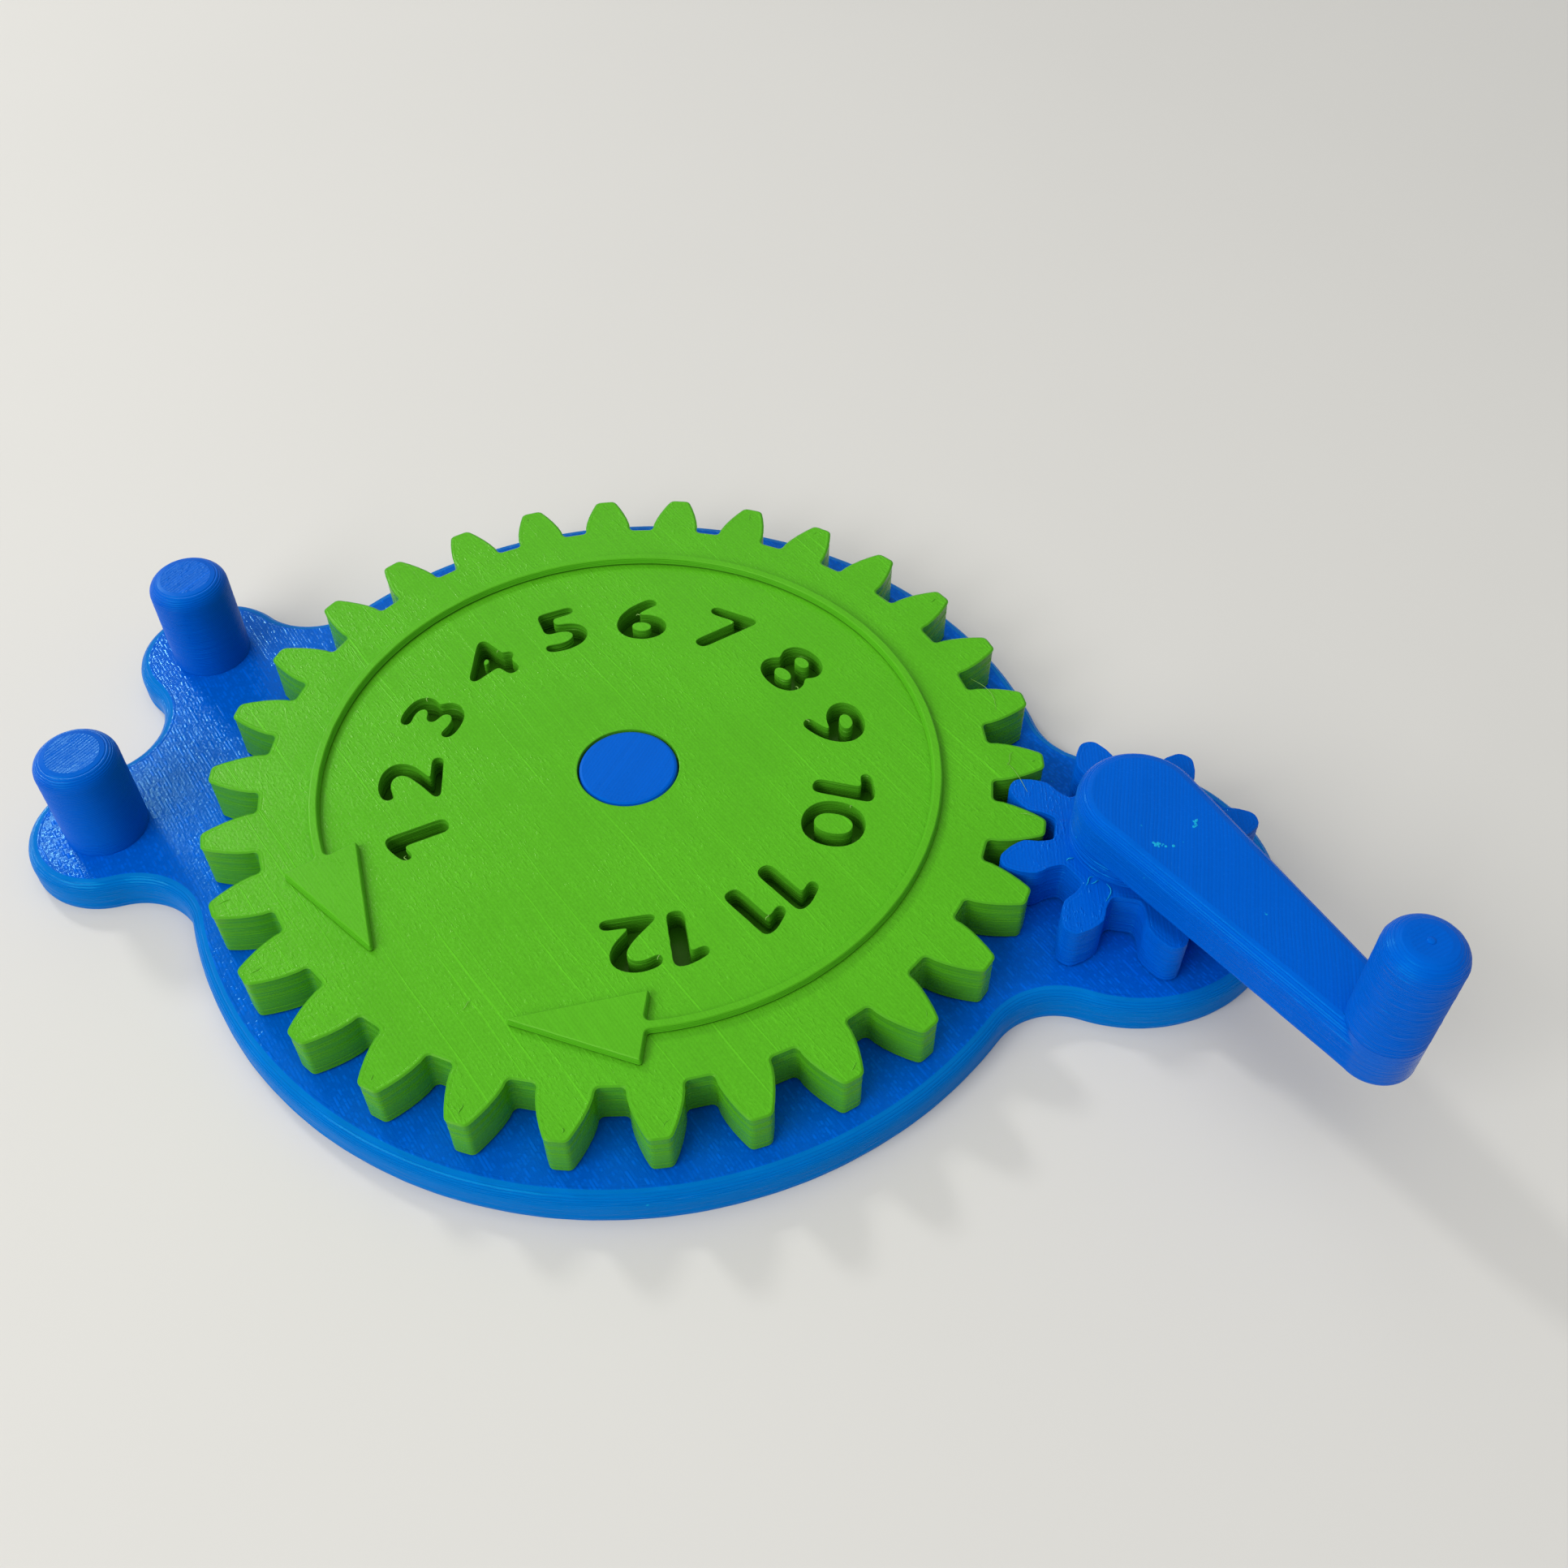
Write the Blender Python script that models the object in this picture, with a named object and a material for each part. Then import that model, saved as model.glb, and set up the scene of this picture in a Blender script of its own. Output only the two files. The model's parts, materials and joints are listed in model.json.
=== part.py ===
"""Hand-cranked spinning gear toy.

A flat base plate carries two posts and two finger pegs. A 30-tooth disc gear turns on the
large post, and a small pinion under a crank arm drives it from the other post. The player
holds the plate by its pegs and turns the knob on the crank arm.

Frame: metres, +Z up. The origin is on the gear's axis, on the underside of the plate. The
pinion's axis is at +X and the finger pegs are at -X. The heights stack upwards from the
plate, so each piece stands on the one below it or floats over it by a running gap.
"""
import math

import bmesh
import bpy
from mathutils import Vector

MM = 0.001

# Gear pair
GEAR_TEETH = 30
PINION_TEETH = 8
TOOTH_MODULE = 3.0 * MM
PRESSURE_ANGLE = math.radians(20.0)
GEAR_DEDENDUM = 3.1 * MM
PINION_DEDENDUM = 3.5 * MM
MESH_SLACK = 0.5 * MM
GEAR_THICKNESS = 6.0 * MM

# Base plate
PLATE_THICKNESS = 4.0 * MM
PLATE_MARGIN = 3.1 * MM
PLATE_EDGE_ROUND = 1.5 * MM
VALLEY_RADIUS = 8.0 * MM

# Finger pegs
PEG_RADIUS = 4.7 * MM
PEG_HEIGHT = 12.6 * MM
PEG_EDGE_ROUND = 1.8 * MM
PEG_STANDOFF = 13.2 * MM
PEG_SPREAD = math.radians(14.0)
PEG_LOBE_MARGIN = 4.6 * MM

# Posts and running gaps
GEAR_POST_RADIUS = 5.7 * MM
PINION_POST_RADIUS = 4.2 * MM
POST_EDGE_ROUND = 0.4 * MM
BORE_CLEARANCE = 0.3 * MM
FLOAT_GAP = 0.3 * MM

# Raised double arrow on the gear
ARROW_INSET = 6.3 * MM
ARROW_BAND_WIDTH = 1.5 * MM
ARROW_HEIGHT = 1.0 * MM
ARROW_HEAD_LENGTH = 15.4 * MM
ARROW_HEAD_WIDTH = 9.0 * MM
ARROW_HEAD_TURN_IN = math.radians(9.5)
ARROW_SWEEP = math.radians(286.0)
ARROW_TURN = math.radians(70.5)

# Crank
ARM_SWEEP_CLEARANCE = 1.6 * MM
HUB_RADIUS = 6.9 * MM
ARM_LENGTH = 34.5 * MM
ARM_THICKNESS = 5.0 * MM
ARM_EDGE_ROUND = 1.6 * MM
KNOB_RADIUS = 4.1 * MM
KNOB_HEIGHT = 13.4 * MM
KNOB_EDGE_ROUND = 2.2 * MM
CRANK_TURN = math.radians(-45.0)

# Facets, and how far a cutting tool reaches past what it cuts
CHORD_ERROR = 0.015 * MM
ROUND_STEPS = 4
FLANK_STEPS = 10
CUTTER_OVERRUN = 1.0 * MM

# Sizes that follow from the ones above
GEAR_PITCH_RADIUS = GEAR_TEETH * TOOTH_MODULE / 2
PINION_PITCH_RADIUS = PINION_TEETH * TOOTH_MODULE / 2
GEAR_TIP_RADIUS = GEAR_PITCH_RADIUS + TOOTH_MODULE
PINION_TIP_RADIUS = PINION_PITCH_RADIUS + TOOTH_MODULE
AXIS_DISTANCE = GEAR_PITCH_RADIUS + PINION_PITCH_RADIUS + MESH_SLACK
PEG_REACH = GEAR_TIP_RADIUS + PEG_STANDOFF
ARROW_RADIUS = GEAR_PITCH_RADIUS - GEAR_DEDENDUM - ARROW_INSET
HUB_HEIGHT = ARROW_HEIGHT + ARM_SWEEP_CLEARANCE

# Heights of the faces, from the underside of the plate
PLATE_TOP = PLATE_THICKNESS
GEAR_BOTTOM = PLATE_TOP + FLOAT_GAP
GEAR_TOP = GEAR_BOTTOM + GEAR_THICKNESS
ARM_BOTTOM = GEAR_TOP + HUB_HEIGHT
PINION_POST_TOP = ARM_BOTTOM - FLOAT_GAP

# Colours of the two plastics, in linear light
BLUE = (0.002, 0.115, 0.578)
GREEN = (0.094, 0.397, 0.019)
ROUGHNESS = 0.42


def clear_scene():
    for scene_object in list(bpy.data.objects):
        bpy.data.objects.remove(scene_object, do_unlink=True)


def plastic(name, colour):
    """One printed plastic: a Principled surface of the part's colour."""
    material = bpy.data.materials.new(name)
    material.use_nodes = True
    shader = material.node_tree.nodes["Principled BSDF"]
    shader.inputs["Base Color"].default_value = (*colour, 1.0)
    shader.inputs["Roughness"].default_value = ROUGHNESS
    shader.inputs["Metallic"].default_value = 0.0
    material.diffuse_color = (*colour, 1.0)
    return material


def arc_count(radius, sweep):
    """Number of facets on an arc whose chords stay within the chord error."""
    facet_angle = 2 * math.acos(1.0 - CHORD_ERROR / radius)
    return max(3, math.ceil(abs(sweep) / facet_angle))


def arc(centre, radius, start, end, inwards=False):
    """Points of an arc with the outward normal of the outline at each point.

    inwards is for a hollow in the outline, whose normals point at the arc's own centre.
    """
    count = arc_count(radius, end - start)
    side = -1.0 if inwards else 1.0
    points = []
    for step in range(count + 1):
        angle = start + (end - start) * step / count
        direction = Vector((math.cos(angle), math.sin(angle)))
        points.append((centre + direction * radius, direction * side))
    return points


def circle(radius):
    """A full circle about the origin, without a doubled last point."""
    return arc(Vector((0.0, 0.0)), radius, 0.0, math.tau)[:-1]


def round_profile(edge_round):
    """Inset and drop of each level of a rounded edge, from its foot to its crest."""
    levels = []
    for step in range(ROUND_STEPS + 1):
        angle = math.pi / 2 * step / ROUND_STEPS
        inset = edge_round * (1.0 - math.cos(angle))
        drop = edge_round * (1.0 - math.sin(angle))
        levels.append((inset, drop))
    return levels


def mesh_from_rings(name, rings):
    """Close a stack of equal rings of 3-D points, lowest first, into one solid."""
    shell = bmesh.new()
    loops = [[shell.verts.new(point) for point in ring] for ring in rings]
    for lower, upper in zip(loops, loops[1:]):
        for index in range(len(lower)):
            following = (index + 1) % len(lower)
            shell.faces.new((lower[index], lower[following], upper[following], upper[index]))
    shell.faces.new(list(reversed(loops[0])))
    shell.faces.new(loops[-1])
    bmesh.ops.recalc_face_normals(shell, faces=shell.faces)
    mesh = bpy.data.meshes.new(name)
    shell.to_mesh(mesh)
    shell.free()
    return mesh


def rounded_slab(name, outline, bottom, top, edge_round):
    """A flat slab of one outline whose upper edge is rounded."""
    rings = [[(*point, bottom) for point, normal in outline]]
    for inset, drop in round_profile(edge_round):
        rings.append([(*(point - normal * inset), top - drop) for point, normal in outline])
    return mesh_from_rings(name, rings)


def flat_slab(name, outline, bottom, top):
    """A flat slab of one outline, given as plain points, with square edges."""
    return mesh_from_rings(name, [[(*point, height) for point in outline]
                                  for height in (bottom, top)])


def finish(name, mesh, material, location=(0.0, 0.0, 0.0), turn=0.0, parent=None):
    """Place one piece, give it its plastic and shade its round sides smooth."""
    mesh.materials.append(material)
    mesh.shade_smooth()
    mesh.set_sharp_from_angle(angle=math.radians(35.0))
    piece = bpy.data.objects.new(name, mesh)
    bpy.context.collection.objects.link(piece)
    piece.location = location
    piece.rotation_euler = (0.0, 0.0, turn)
    piece.parent = parent
    return piece


def axis_empty(name, location, turn=0.0):
    """An empty on a joint's axis, which carries all the pieces that turn with it."""
    empty = bpy.data.objects.new(name, None)
    empty.empty_display_size = GEAR_THICKNESS
    empty.location = location
    empty.rotation_euler = (0.0, 0.0, turn)
    bpy.context.collection.objects.link(empty)
    return empty


def combine(piece, tool, operation):
    """Apply a tool to a piece with a Boolean. The tool stays in the file as a guide."""
    tool.hide_render = True
    tool.display_type = "WIRE"
    modifier = piece.modifiers.new(operation.title(), "BOOLEAN")
    modifier.operation = operation
    modifier.solver = "EXACT"
    modifier.object = tool


def cut_bore(piece, radius, top, material):
    """Cut a round hole on the piece's own axis, right through from its foot to its top."""
    outline = [point for point, normal in circle(radius)]
    mesh = flat_slab(piece.name + "_bore", outline, -CUTTER_OVERRUN, top + CUTTER_OVERRUN)
    cutter = finish(mesh.name, mesh, material, parent=piece)
    combine(piece, cutter, "DIFFERENCE")


# Base plate


def hollow_between(first, second, left_side):
    """Centre of the concave fillet that rolls between two discs of the outline.

    Each disc is (centre, radius). left_side picks the fillet on the left of the line from
    the first disc to the second.
    """
    reach_first = first[1] + VALLEY_RADIUS
    reach_second = second[1] + VALLEY_RADIUS
    span = second[0] - first[0]
    distance = span.length
    along = (distance ** 2 + reach_first ** 2 - reach_second ** 2) / (2 * distance)
    across = math.sqrt(reach_first ** 2 - along ** 2)
    direction = span / distance
    sideways = Vector((-direction.y, direction.x))
    return first[0] + direction * along + sideways * (across if left_side else -across)


def heading(origin, target):
    return math.atan2(target.y - origin.y, target.x - origin.x)


def plate_outline():
    """Discs round the gear, the pinion and each peg, run together by concave fillets.

    The outline goes anticlockwise from disc to disc. Each disc shows its arc between the
    fillets on either side of it, and each fillet is a hollow arc between two discs.
    """
    gear_disc = (Vector((0.0, 0.0)), GEAR_TIP_RADIUS + PLATE_MARGIN)
    pinion_disc = (Vector((AXIS_DISTANCE, 0.0)), PINION_TIP_RADIUS + PLATE_MARGIN)
    rear_disc, front_disc = [(Vector(place), PEG_RADIUS + PEG_LOBE_MARGIN)
                             for place in peg_places()]
    discs = [pinion_disc, gear_disc, rear_disc, front_disc, gear_disc]
    peg_distance = (rear_disc[0] - front_disc[0]).length
    if peg_distance > 2 * (rear_disc[1] + VALLEY_RADIUS):
        discs.insert(3, gear_disc)
    hollows = [hollow_between(disc, discs[(index + 1) % len(discs)], left_side=False)
               for index, disc in enumerate(discs)]
    outline = []
    for index, (centre, radius) in enumerate(discs):
        before = hollows[index - 1]
        after = hollows[index]
        start = heading(centre, before)
        end = heading(centre, after)
        outline += arc(centre, radius, start, start + (end - start) % math.tau)[:-1]
        following = discs[(index + 1) % len(discs)][0]
        enter = heading(after, centre)
        leave = heading(after, following)
        sweep = (enter - leave) % math.tau
        outline += arc(after, VALLEY_RADIUS, enter, enter - sweep, inwards=True)[:-1]
    return outline


def peg_places():
    """The two finger pegs stand side by side, as far from the pinion as they can."""
    across = PEG_REACH * math.sin(PEG_SPREAD)
    along = -PEG_REACH * math.cos(PEG_SPREAD)
    return [(along, across), (along, -across)]


def add_base(blue):
    mesh = rounded_slab("base_plate", plate_outline(), 0.0, PLATE_TOP, PLATE_EDGE_ROUND)
    finish("base_plate", mesh, blue)
    for name, place in zip(("rear_finger_peg", "front_finger_peg"), peg_places()):
        mesh = rounded_slab(name, circle(PEG_RADIUS), 0.0, PEG_HEIGHT, PEG_EDGE_ROUND)
        finish(name, mesh, blue, (*place, PLATE_TOP))
    posts = (("gear_post", GEAR_POST_RADIUS, GEAR_TOP, 0.0),
             ("pinion_post", PINION_POST_RADIUS, PINION_POST_TOP, AXIS_DISTANCE))
    for name, radius, top, place in posts:
        mesh = rounded_slab(name, circle(radius), 0.0, top - PLATE_TOP, POST_EDGE_ROUND)
        finish(name, mesh, blue, (place, 0.0, PLATE_TOP))


# Gear teeth


def involute(angle):
    return math.tan(angle) - angle


def tooth_half_angle(radius, teeth):
    """Half the angle that an involute tooth spans at one radius."""
    pitch_radius = teeth * TOOTH_MODULE / 2
    base_radius = pitch_radius * math.cos(PRESSURE_ANGLE)
    local_pressure = math.acos(min(1.0, base_radius / radius))
    return math.pi / (2 * teeth) + involute(PRESSURE_ANGLE) - involute(local_pressure)


def undercut_half_angle(radius, teeth, dedendum):
    """Half angle of the gap that the corner of the cutting rack's tooth sweeps clear.

    The rack rolls on the pitch circle, so a pinion of few teeth is cut away below its
    involute and its teeth get a narrow neck under a wide head.
    """
    pitch_radius = teeth * TOOTH_MODULE / 2
    root_radius = pitch_radius - dedendum
    corner = math.pi * TOOTH_MODULE / 4 - dedendum * math.tan(PRESSURE_ANGLE)
    rolled = math.sqrt(max(0.0, radius ** 2 - root_radius ** 2))
    return math.atan2(rolled, root_radius) - (rolled - corner) / pitch_radius


def flank_half_angle(radius, teeth, dedendum):
    """The tooth that is left: the involute, less what the rack's corner cuts away."""
    undercut = math.pi / teeth - undercut_half_angle(radius, teeth, dedendum)
    return min(tooth_half_angle(radius, teeth), undercut)


def toothed_outline(teeth, dedendum, first_tooth):
    """Outline of a spur gear, tooth by tooth, with one tooth at the first_tooth angle."""
    pitch_radius = teeth * TOOTH_MODULE / 2
    root_radius = pitch_radius - dedendum
    tip_radius = pitch_radius + TOOTH_MODULE
    flank = []
    for step in range(FLANK_STEPS + 1):
        radius = root_radius + (tip_radius - root_radius) * step / FLANK_STEPS
        flank.append((radius, flank_half_angle(radius, teeth, dedendum)))
    tooth = [(radius, -half_angle) for radius, half_angle in flank]
    tooth.append((tip_radius, 0.0))
    tooth += [(radius, half_angle) for radius, half_angle in reversed(flank)]
    tooth.append((root_radius, math.pi / teeth))
    outline = []
    for number in range(teeth):
        middle = first_tooth + math.tau * number / teeth
        for radius, offset in tooth:
            angle = middle + offset
            outline.append((radius * math.cos(angle), radius * math.sin(angle)))
    return outline


# Gear


def arrow_outline():
    """A curved band with an arrowhead on each end, symmetrical about the X axis.

    The middles of the heads' bases lie at plus and minus half the sweep. Each head is a
    triangle whose height is square to its base, turned in to follow the band's curve.
    """
    half_sweep = ARROW_SWEEP / 2
    half_width = ARROW_BAND_WIDTH / 2
    origin = Vector((0.0, 0.0))
    outer = arc(origin, ARROW_RADIUS + half_width, -half_sweep, half_sweep)
    inner = arc(origin, ARROW_RADIUS - half_width, half_sweep, -half_sweep)
    outline = [point for point, normal in outer]
    outline += arrow_head(half_sweep, 1.0)
    outline += [point for point, normal in inner]
    outline += reversed(arrow_head(-half_sweep, -1.0))
    return outline


def arrow_head(angle, turn):
    """Outer corner, tip and inner corner of the head at one end of the band."""
    base = Vector((math.cos(angle), math.sin(angle))) * ARROW_RADIUS
    base_angle = angle + turn * ARROW_HEAD_TURN_IN
    outwards = Vector((math.cos(base_angle), math.sin(base_angle)))
    onwards = Vector((-outwards.y, outwards.x)) * turn
    return [base + outwards * ARROW_HEAD_WIDTH / 2,
            base + onwards * ARROW_HEAD_LENGTH,
            base - outwards * ARROW_HEAD_WIDTH / 2]


def add_gear(green):
    axis = axis_empty("gear_axis", (0.0, 0.0, GEAR_BOTTOM))
    outline = toothed_outline(GEAR_TEETH, GEAR_DEDENDUM, 0.0)
    mesh = flat_slab("spin_gear", outline, 0.0, GEAR_THICKNESS)
    gear = finish("spin_gear", mesh, green, parent=axis)
    cut_bore(gear, GEAR_POST_RADIUS + BORE_CLEARANCE, GEAR_THICKNESS, green)
    mesh = flat_slab("double_arrow", arrow_outline(), 0.0, ARROW_HEIGHT)
    finish("double_arrow", mesh, green, (0.0, 0.0, GEAR_THICKNESS), ARROW_TURN, axis)


# Crank


def arm_rings():
    """Levels of the crank arm, along +X from the hub to the knob.

    Each level is the hull of the hub's circle and the knob's circle, drawn in by the
    rounding of the upper edge, and joined with the full circle under the knob, whose wall
    runs straight up into the knob. A side line that is drawn in by s meets the knob's
    circle at acos(1 - s / radius) behind the point where the two would touch.
    """
    touch = math.acos((HUB_RADIUS - KNOB_RADIUS) / ARM_LENGTH)
    knob_facets = 2 * arc_count(KNOB_RADIUS, touch)
    hub_facets = arc_count(HUB_RADIUS, math.tau - 2 * touch)
    levels = [(0.0, ARM_THICKNESS)] + round_profile(ARM_EDGE_ROUND)
    rings = []
    for inset, drop in levels:
        ring = []
        meet = touch + math.acos(1.0 - inset / KNOB_RADIUS)
        for step in range(knob_facets + 1):
            angle = -meet + 2 * meet * step / knob_facets
            ring.append((ARM_LENGTH + KNOB_RADIUS * math.cos(angle),
                         KNOB_RADIUS * math.sin(angle), ARM_THICKNESS - drop))
        for step in range(hub_facets + 1):
            angle = touch + (math.tau - 2 * touch) * step / hub_facets
            ring.append(((HUB_RADIUS - inset) * math.cos(angle),
                         (HUB_RADIUS - inset) * math.sin(angle), ARM_THICKNESS - drop))
        rings.append(ring)
    return rings


def add_crank(blue):
    axis = axis_empty("crank_axis", (AXIS_DISTANCE, 0.0, GEAR_BOTTOM), CRANK_TURN)
    first_tooth = math.pi + math.pi / PINION_TEETH - CRANK_TURN
    outline = toothed_outline(PINION_TEETH, PINION_DEDENDUM, first_tooth)
    mesh = flat_slab("drive_pinion", outline, 0.0, GEAR_THICKNESS)
    pinion = finish("drive_pinion", mesh, blue, parent=axis)
    hub_outline = [point for point, normal in circle(HUB_RADIUS)]
    mesh = flat_slab("pinion_hub", hub_outline, GEAR_THICKNESS / 2,
                     GEAR_THICKNESS + HUB_HEIGHT)
    combine(pinion, finish("pinion_hub", mesh, blue, parent=pinion), "UNION")
    cut_bore(pinion, PINION_POST_RADIUS + BORE_CLEARANCE, GEAR_THICKNESS + HUB_HEIGHT, blue)
    arm_height = ARM_BOTTOM - GEAR_BOTTOM
    mesh = mesh_from_rings("crank_arm", arm_rings())
    finish("crank_arm", mesh, blue, (0.0, 0.0, arm_height), parent=axis)
    mesh = rounded_slab("crank_knob", circle(KNOB_RADIUS), 0.0, KNOB_HEIGHT, KNOB_EDGE_ROUND)
    finish("crank_knob", mesh, blue, (ARM_LENGTH, 0.0, arm_height + ARM_THICKNESS),
           parent=axis)


def main():
    clear_scene()
    blue = plastic("blue_plastic", BLUE)
    green = plastic("green_plastic", GREEN)
    add_base(blue)
    add_gear(green)
    add_crank(blue)


main()
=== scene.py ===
"""Looks of a hand-cranked spinning gear toy, printed in two plastics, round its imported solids.

Every print is laid down in flat layers of round beads. So each piece here is a stack of rings:
a wall goes up bead by bead, a rounded edge goes in by small steps, and the top face starts with
the bead that follows its edge. Sizes are in metres.
"""

import json
import math

import bpy
import numpy as np
from bpy.props import FloatProperty, FloatVectorProperty, IntProperty, PointerProperty
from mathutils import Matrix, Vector
from mathutils.geometry import delaunay_2d_cdt


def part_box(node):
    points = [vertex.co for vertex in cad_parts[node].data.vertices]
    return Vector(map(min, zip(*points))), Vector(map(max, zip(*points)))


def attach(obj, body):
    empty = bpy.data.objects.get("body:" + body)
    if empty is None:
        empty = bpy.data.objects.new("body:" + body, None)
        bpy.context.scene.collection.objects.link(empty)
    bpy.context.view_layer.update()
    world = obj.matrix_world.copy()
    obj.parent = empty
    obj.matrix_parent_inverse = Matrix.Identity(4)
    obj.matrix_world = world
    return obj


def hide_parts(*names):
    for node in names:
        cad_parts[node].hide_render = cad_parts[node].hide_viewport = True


bl_info = {
    "name": "Printed gear toy",
    "version": (1, 0, 0),
    "blender": (4, 5, 0),
    "location": "View3D > Sidebar > Gear Toy",
    "description": "Builds a hand-cranked spinning gear toy with printed layers and beads",
    "category": "Object",
}

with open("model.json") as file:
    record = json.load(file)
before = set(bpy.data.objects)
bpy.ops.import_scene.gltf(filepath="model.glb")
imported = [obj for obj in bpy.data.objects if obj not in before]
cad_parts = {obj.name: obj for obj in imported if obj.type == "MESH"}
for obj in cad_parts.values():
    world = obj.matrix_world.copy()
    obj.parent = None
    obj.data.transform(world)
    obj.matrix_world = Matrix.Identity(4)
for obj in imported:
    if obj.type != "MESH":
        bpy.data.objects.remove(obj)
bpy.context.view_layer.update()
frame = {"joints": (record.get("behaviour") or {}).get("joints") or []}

MM = 0.001
FULL_TURN = 2 * math.pi
BLUE_SLOT = "blue_plastic"
GREEN_SLOT = "green_plastic"
AXES = {joint["name"]: np.array(joint["pos_m"][:2]) for joint in frame["joints"]}
CRANK_AXIS = AXES["crank_spin"]
FONT_HEIGHT = 0.691  # of the built-in font's digits, over its size
FLOOR_REACH = 3.0
GLOSS_LEVEL = 0.19  # of every surface, in place of the shader's 0.5
LARGEST_BEND = math.radians(26.0)  # between two points of a rounded corner
CORNER_ROOM = 0.48  # how much of an edge the rounding of one corner may take
GROOVE_SHARES = (0.2, 0.3, 0.5, 0.9)  # how deep uneven grooves are, over the usual depth
FLANK_SPACING = 1.45 * MM  # of the points along a tooth
LEAST_STEP = 0.02 * MM  # between two layers that don't share a ring
POCKET_RIM = 0.08 * MM  # how far the top face stays clear of a digit's wall
LONGEST_WAVE = 25 * MM  # by which a layer wanders in and out
THREAD_SIDES, THREAD_STEPS, BLOB_SIDES = 5, 13, 8
PAINTED_FOOT_SHADE = -0.9  # flatness that paints shade into the plastic: a painted contact shadow at the foot of a raised form
LAST_NUMBER = 12
ROUNDING_STEPS = (30, 48, 48)  # of a digit's outline and of the islands in it
KNOB_STEPS, HUB_STEPS, SIDE_STEPS = 60, 72, 56  # along the outline of the arm


def add_object(name, data):
    """Put data into the scene as an object."""
    item = bpy.data.objects.new(name, data)
    bpy.context.scene.collection.objects.link(item)
    return item


def node_span(node):
    """Lowest and highest corner of a CAD node, as arrays."""
    low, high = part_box(node)
    return np.array(low), np.array(high)


def node_middle(node):
    """Middle of a CAD node seen from above."""
    low, high = node_span(node)
    return (low[:2] + high[:2]) / 2


def node_heights(node):
    """Heights of a CAD node's foot and top."""
    low, high = node_span(node)
    return low[2], high[2]


def node_radius(node):
    """Radius of a round upright CAD node, which is half its width."""
    low, high = node_span(node)
    return (high[0] - low[0]) / 2


# Settings


def a_length(name, description, millimetres):
    return FloatProperty(name=name, description=description, default=millimetres * MM, min=0.0,
                         precision=5, subtype="DISTANCE", unit="LENGTH")


def an_angle(name, description, degrees):
    return FloatProperty(name=name, description=description, default=math.radians(degrees),
                         subtype="ANGLE", unit="ROTATION")


def a_colour(name, description, default):
    return FloatVectorProperty(name=name, description=description, default=default, size=3,
                               min=0.0, max=1.0, subtype="COLOR")


def a_number(name, description, default):
    return FloatProperty(name=name, description=description, default=default, min=0.0)


class PrintSettings(bpy.types.PropertyGroup):
    """How the printer lays its plastic down."""
    layer_height: a_length("Layer height", "Height of one printed layer", 0.2)
    groove_depth: a_length("Groove depth", "How far a groove between layers goes in", 0.036)
    layer_shift: a_length("Layer shift", "How far one layer stands out by chance", 0.010)
    bead_width: a_length("Bead width", "Width of the bead along an edge", 0.40)
    crown_height: a_length("Crown height", "How far an edge's bead stands up", 0.014)
    line_pitch: a_length("Line pitch", "Distance between lines of a top face", 0.385)


class BaseSettings(bpy.types.PropertyGroup):
    """Sizes of the blue base that aren't read from the solids."""
    plate_margin: a_length("Plate margin", "How far the plate reaches past the teeth", 3.1)
    lobe_margin: a_length("Lobe margin", "How far the plate reaches past a peg", 4.6)
    hollow_radius: a_length("Hollow radius", "Radius of the plate's hollows", 8.0)
    plate_round: a_length("Plate edge", "Rounding of the plate's upper edge", 1.5)
    peg_round: a_length("Peg edge", "Rounding of a peg's upper edge", 1.8)
    post_round: a_length("Post edge", "Rounding of a post's upper edge", 0.4)


class GearSettings(bpy.types.PropertyGroup):
    """Sizes of the teeth, the arrow and the numbers."""
    gear_teeth: IntProperty(name="Gear teeth", description="Teeth of the gear", default=30)
    pinion_teeth: IntProperty(name="Pinion teeth", description="Teeth of the pinion", default=8)
    tooth_module: a_length("Module", "Pitch diameter over teeth", 3.0)
    pressure_angle: an_angle("Pressure angle", "Slope of the teeth's flanks", 20.0)
    gear_dedendum: a_length("Gear dedendum", "Depth of its teeth below pitch", 3.1)
    pinion_dedendum: a_length("Pinion dedendum", "Depth of its teeth below pitch", 3.5)
    bore_gap: a_length("Bore gap", "Gap between the gear's post and its bore", 0.18)
    arrow_radius: a_length("Arrow radius", "Radius of the arrow's band", 35.6)
    band_width: a_length("Band width", "Width of the arrow's band", 1.5)
    head_length: a_length("Head length", "Length of an arrowhead", 15.4)
    head_width: a_length("Head width", "Width of an arrowhead", 9.0)
    head_turn: an_angle("Head turn", "How far a head is turned in", 9.5)
    arrow_sweep: an_angle("Arrow sweep", "Angle between the two heads", 286.0)
    arrow_turn: an_angle("Arrow turn", "Where the middle of the arrow lies", 70.5)
    number_radius: a_length("Number radius", "Distance of the numbers from the axis", 24.9)
    number_height: a_length("Number height", "Height of the numbers", 7.2)
    number_depth: a_length("Number depth", "How deep the numbers are cut", 3.0)
    number_width: a_number("Number width", "Width of the numbers over the font's own", 1.42)
    number_start: an_angle("First number", "Where the row of numbers begins", 221.0)
    number_gap: a_length("Number gap", "Gap between two numbers", 4.6)
    digit_gap: a_length("Digit gap", "Gap between two digits of a number", 1.2)
    number_weight: a_length("Number weight", "How much each stroke's sides move out", 0.2)


class CrankSettings(bpy.types.PropertyGroup):
    """Sizes of the crank that aren't read from the solids."""
    hub_radius: a_length("Hub radius", "Radius of the hub and the arm's wide end", 6.9)
    arm_round: a_length("Arm edge", "Rounding of the arm's upper edge", 1.6)
    knob_round: a_length("Knob edge", "Rounding of the knob's upper edge", 2.2)
    bore_radius: a_length("Bore", "Radius of the pinion's bore", 4.5)


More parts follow.
